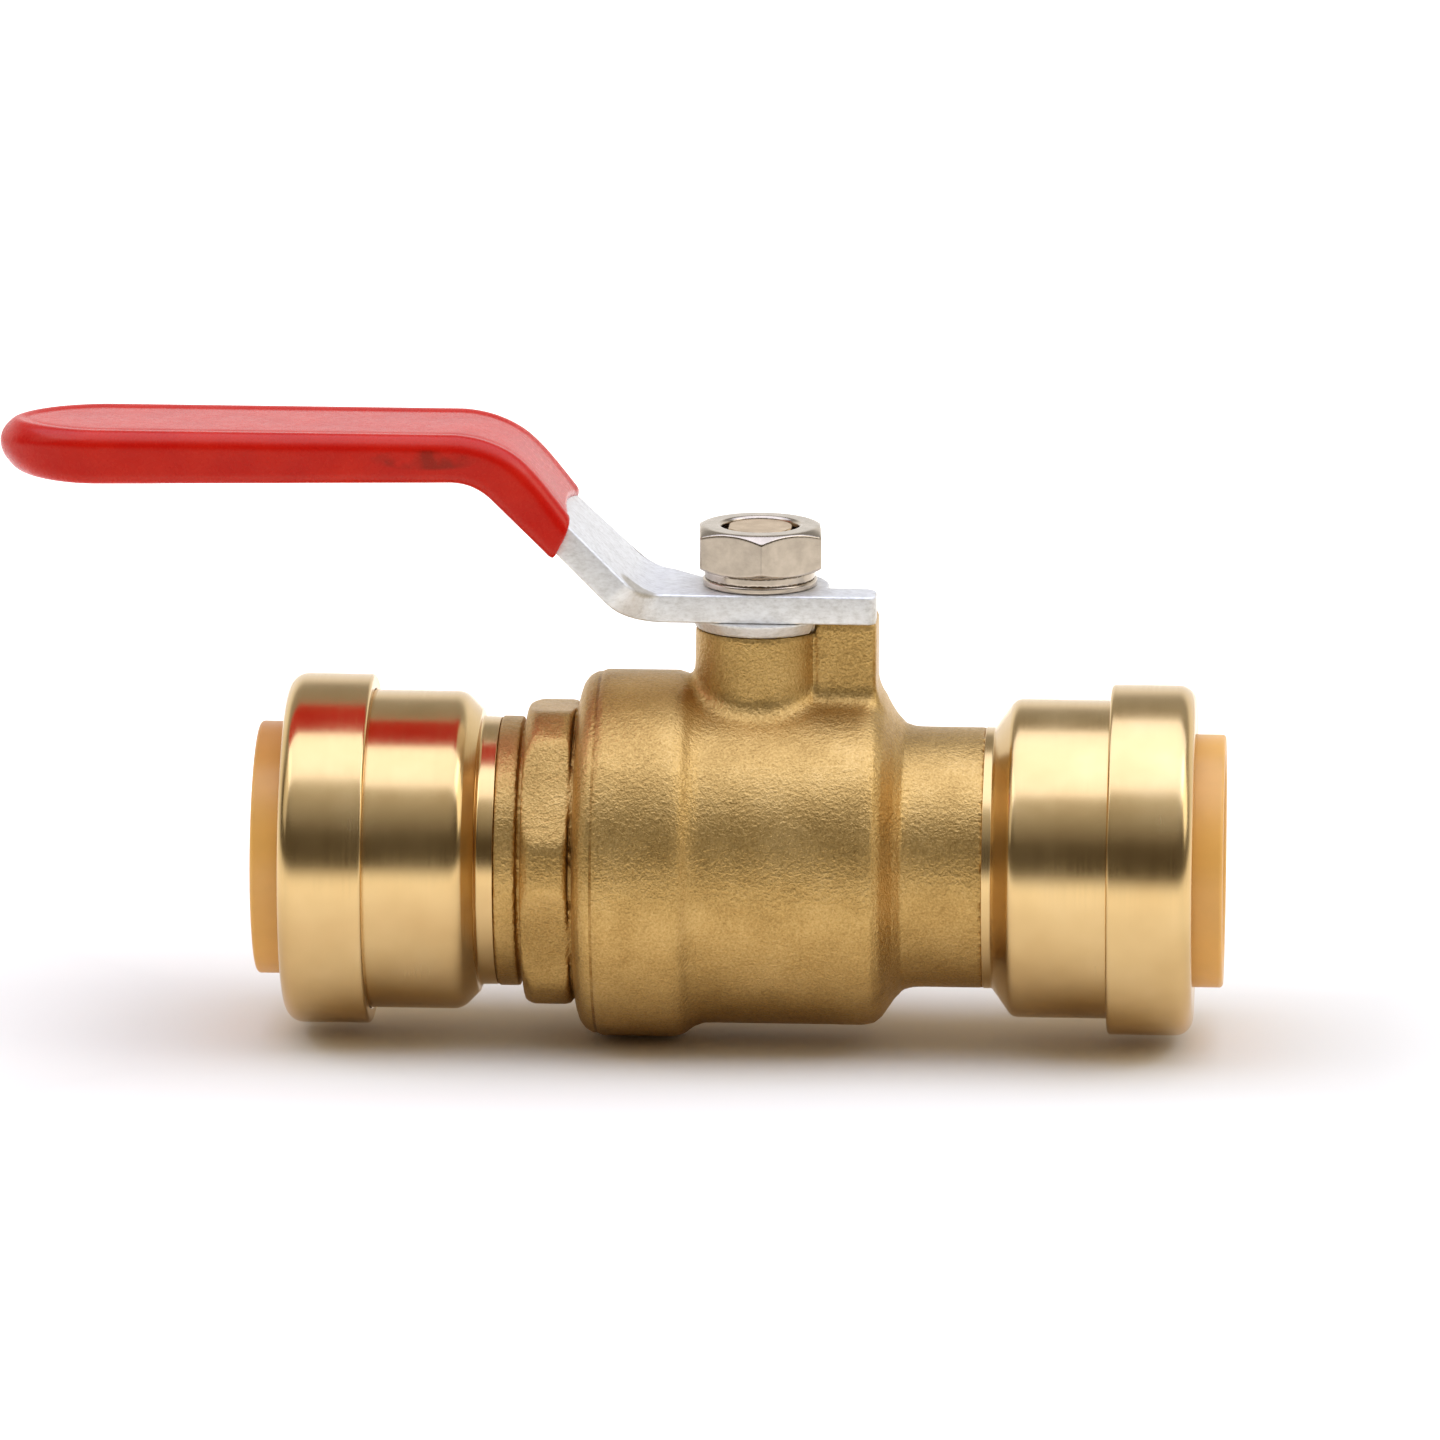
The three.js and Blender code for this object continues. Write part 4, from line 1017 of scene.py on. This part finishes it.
def floor():
    """A large pale sheet under the valve, with a painted glow: none just round the valve, which leaves a
    painted shadow under it, more behind it and less to the sides. Far in front, its colour and glow are
    painted darker as painted shade.
    """
    half = 4000
    steps = 24
    work = bmesh.new()
    bmesh.ops.create_grid(work, x_segments=steps, y_segments=steps, size=half * MM)
    bmesh.ops.translate(work, verts=work.verts, vec=(0, 0, FLOOR_Z * MM))
    mesh = bpy.data.meshes.new("studio_floor")
    work.to_mesh(mesh)
    work.free()
    material = principled("studio_paper_painted_glow", Roughness=0.9, Specular_IOR_Level=0.1)
    shader = material.node_tree.nodes["Principled BSDF"]
    shader.inputs["Emission Color"].default_value = (1, 1, 1, 1)
    place = add_node(material, "ShaderNodeTexCoord")
    split = add_node(material, "ShaderNodeSeparateXYZ")
    connect(material, place.outputs["Object"], split.inputs["Vector"])
    beside = combine(material, "SUBTRACT", combine(material, "ABSOLUTE", split.outputs["X"], 0), 0.045)
    away = combine(material, "MAXIMUM", combine(material, "ABSOLUTE", split.outputs["Y"], 0), beside)
    # Painted glow that rises away from the valve, leaving a painted shadow just round and under it.
    painted_glow_off_valve = spread(material, away, 0.0, 0.40, 0.02, 0.10)
    # More painted glow behind the valve.
    painted_glow_behind = spread(material, split.outputs["Y"], 0.0, 0.5, 0.08, 0.40)
    # Painted shade: the floor's colour and glow are darker far in front of the valve.
    shade = spread(material, split.outputs["Y"], 0.55, 1.0, -0.31, -0.13)
    # The painted glow fades out to the sides.
    painted_glow_to_sides = spread(material, beside, 1.0, 0.2, 0.07, 0.25)
    level = combine(material, "MULTIPLY", combine(material, "ADD", painted_glow_off_valve, painted_glow_behind), painted_glow_to_sides)
    connect(material, combine(material, "MULTIPLY", level, shade), shader.inputs["Emission Strength"])
    tints = [(0.3, (0.93, 0.88, 0.75)), (0.7, (0.96, 0.91, 0.78))]
    paper = ramp(material, noise(material, 0.002, 2.0), tints)
    shaded = add_node(material, "ShaderNodeVectorMath", operation="SCALE")
    connect(material, paper, shaded.inputs[0])
    connect(material, shade, shaded.inputs["Scale"])
    set_colour(material, shaded.outputs["Vector"])
    mesh.materials.append(material)
    sheet = bpy.data.objects.new("studio_floor", mesh)
    bpy.context.scene.collection.objects.link(sheet)


def towards(azimuth, elevation):
    """The direction from the valve at these angles. Azimuth 0 is in front, 90 degrees at +X."""
    level = math.cos(elevation)
    return Vector((math.sin(azimuth) * level, -math.cos(azimuth) * level, math.sin(elevation)))


def area_light(name, azimuth, elevation, distance_m, size_m, watts, colour=(1, 1, 1)):
    """A soft light aimed at the valve from these angles, in degrees."""
    lamp = bpy.data.lights.new(name, "AREA")
    lamp.shape = "RECTANGLE"
    lamp.size, lamp.size_y = size_m
    lamp.energy = watts
    lamp.color = colour
    holder = bpy.data.objects.new(name, lamp)
    place = towards(azimuth * DEGREE, elevation * DEGREE) * distance_m
    holder.location = place
    holder.rotation_euler = (-place).to_track_quat("-Z", "Y").to_euler()
    bpy.context.scene.collection.objects.link(holder)
    return holder


def surroundings():
    """A dim room with a bright low backdrop behind the valve. The camera itself sees plain white."""
    world = bpy.data.worlds.new("studio_room")
    bpy.context.scene.world = world
    world.use_nodes = True
    tree = world.node_tree
    place = tree.nodes.new("ShaderNodeTexCoord")
    split = tree.nodes.new("ShaderNodeSeparateXYZ")
    tree.links.new(place.outputs["Generated"], split.inputs["Vector"])

    def by_height(stops):
        node = tree.nodes.new("ShaderNodeValToRGB")
        elements = node.color_ramp.elements
        while len(elements) < len(stops):
            elements.new(0.5)
        for element, (height, level) in zip(elements, stops):
            element.position = height
            warmth = 1 - min(level, 0.4) / 0.4
            element.color = (level, level * (1 - 0.2 * warmth), level * (1 - 0.5 * warmth), 1)
        tree.links.new(split.outputs["Z"], node.inputs["Fac"])
        return node.outputs["Color"]

    def mixed(factor, first, second):
        node = tree.nodes.new("ShaderNodeMix")
        node.data_type = "RGBA"
        tree.links.new(factor, node.inputs["Factor"])
        for socket, value in ((node.inputs["A"], first), (node.inputs["B"], second)):
            if isinstance(value, tuple):
                socket.default_value = value
            else:
                tree.links.new(value, socket)
        return node.outputs["Result"]

    behind = tree.nodes.new("ShaderNodeMapRange")
    behind.interpolation_type = "SMOOTHSTEP"
    behind.inputs["From Min"].default_value = 0.1
    behind.inputs["From Max"].default_value = 0.55
    tree.links.new(split.outputs["Y"], behind.inputs["Value"])
    front = by_height([(0.0, 0.08), (0.36, 0.09), (0.57, 0.34), (0.76, 0.58), (1.0, 0.9)])
    back = by_height([(0.0, 1.15), (0.36, 1.05), (0.52, 0.40), (0.8, 0.36), (1.0, 0.9)])
    room = mixed(behind.outputs["Result"], front, back)
    path = tree.nodes.new("ShaderNodeLightPath")
    seen = mixed(path.outputs["Is Camera Ray"], room, (0.94, 0.94, 0.94, 1))
    tree.links.new(seen, tree.nodes["Background"].inputs["Color"])


def camera():
    """A long lens a little above the pipe, on its outlet side. The valve is low and right of the middle."""
    azimuth, elevation, roll = 3.0 * DEGREE, 12.7 * DEGREE, 0.18 * DEGREE
    distance, view_width = 1450, 151.579
    aim_right, aim_up = -4.105, 14.105
    back = towards(azimuth, elevation)
    right = Vector((math.cos(azimuth), math.sin(azimuth), 0))
    up = back.cross(right)
    lens = bpy.data.cameras.new("camera")
    lens.sensor_width = 36.0
    lens.lens = 36.0 * distance / view_width
    lens.clip_start, lens.clip_end = 0.05, 50
    eye = bpy.data.objects.new("camera", lens)
    turned_right = right * math.cos(roll) + up * math.sin(roll)
    turned_up = up * math.cos(roll) - right * math.sin(roll)
    aim = turned_right * aim_right + turned_up * aim_up
    axes = Matrix((turned_right, turned_up, back)).transposed().to_4x4()
    eye.matrix_world = Matrix.Translation((aim + back * distance) * MM) @ axes
    bpy.context.scene.collection.objects.link(eye)
    bpy.context.scene.camera = eye


floor()
surroundings()
area_light("overhead_softbox", 0, 88, 0.75, (1.6, 0.87), 8.2, (0.57, 0.65, 0.97))
area_light("left_fill", -75, 35, 0.9, (0.4, 0.7), 0.6)
area_light("right_fill", 80, 35, 0.9, (0.4, 0.7), 1.5)
camera()
bpy.context.scene.view_settings.view_transform = "Standard"
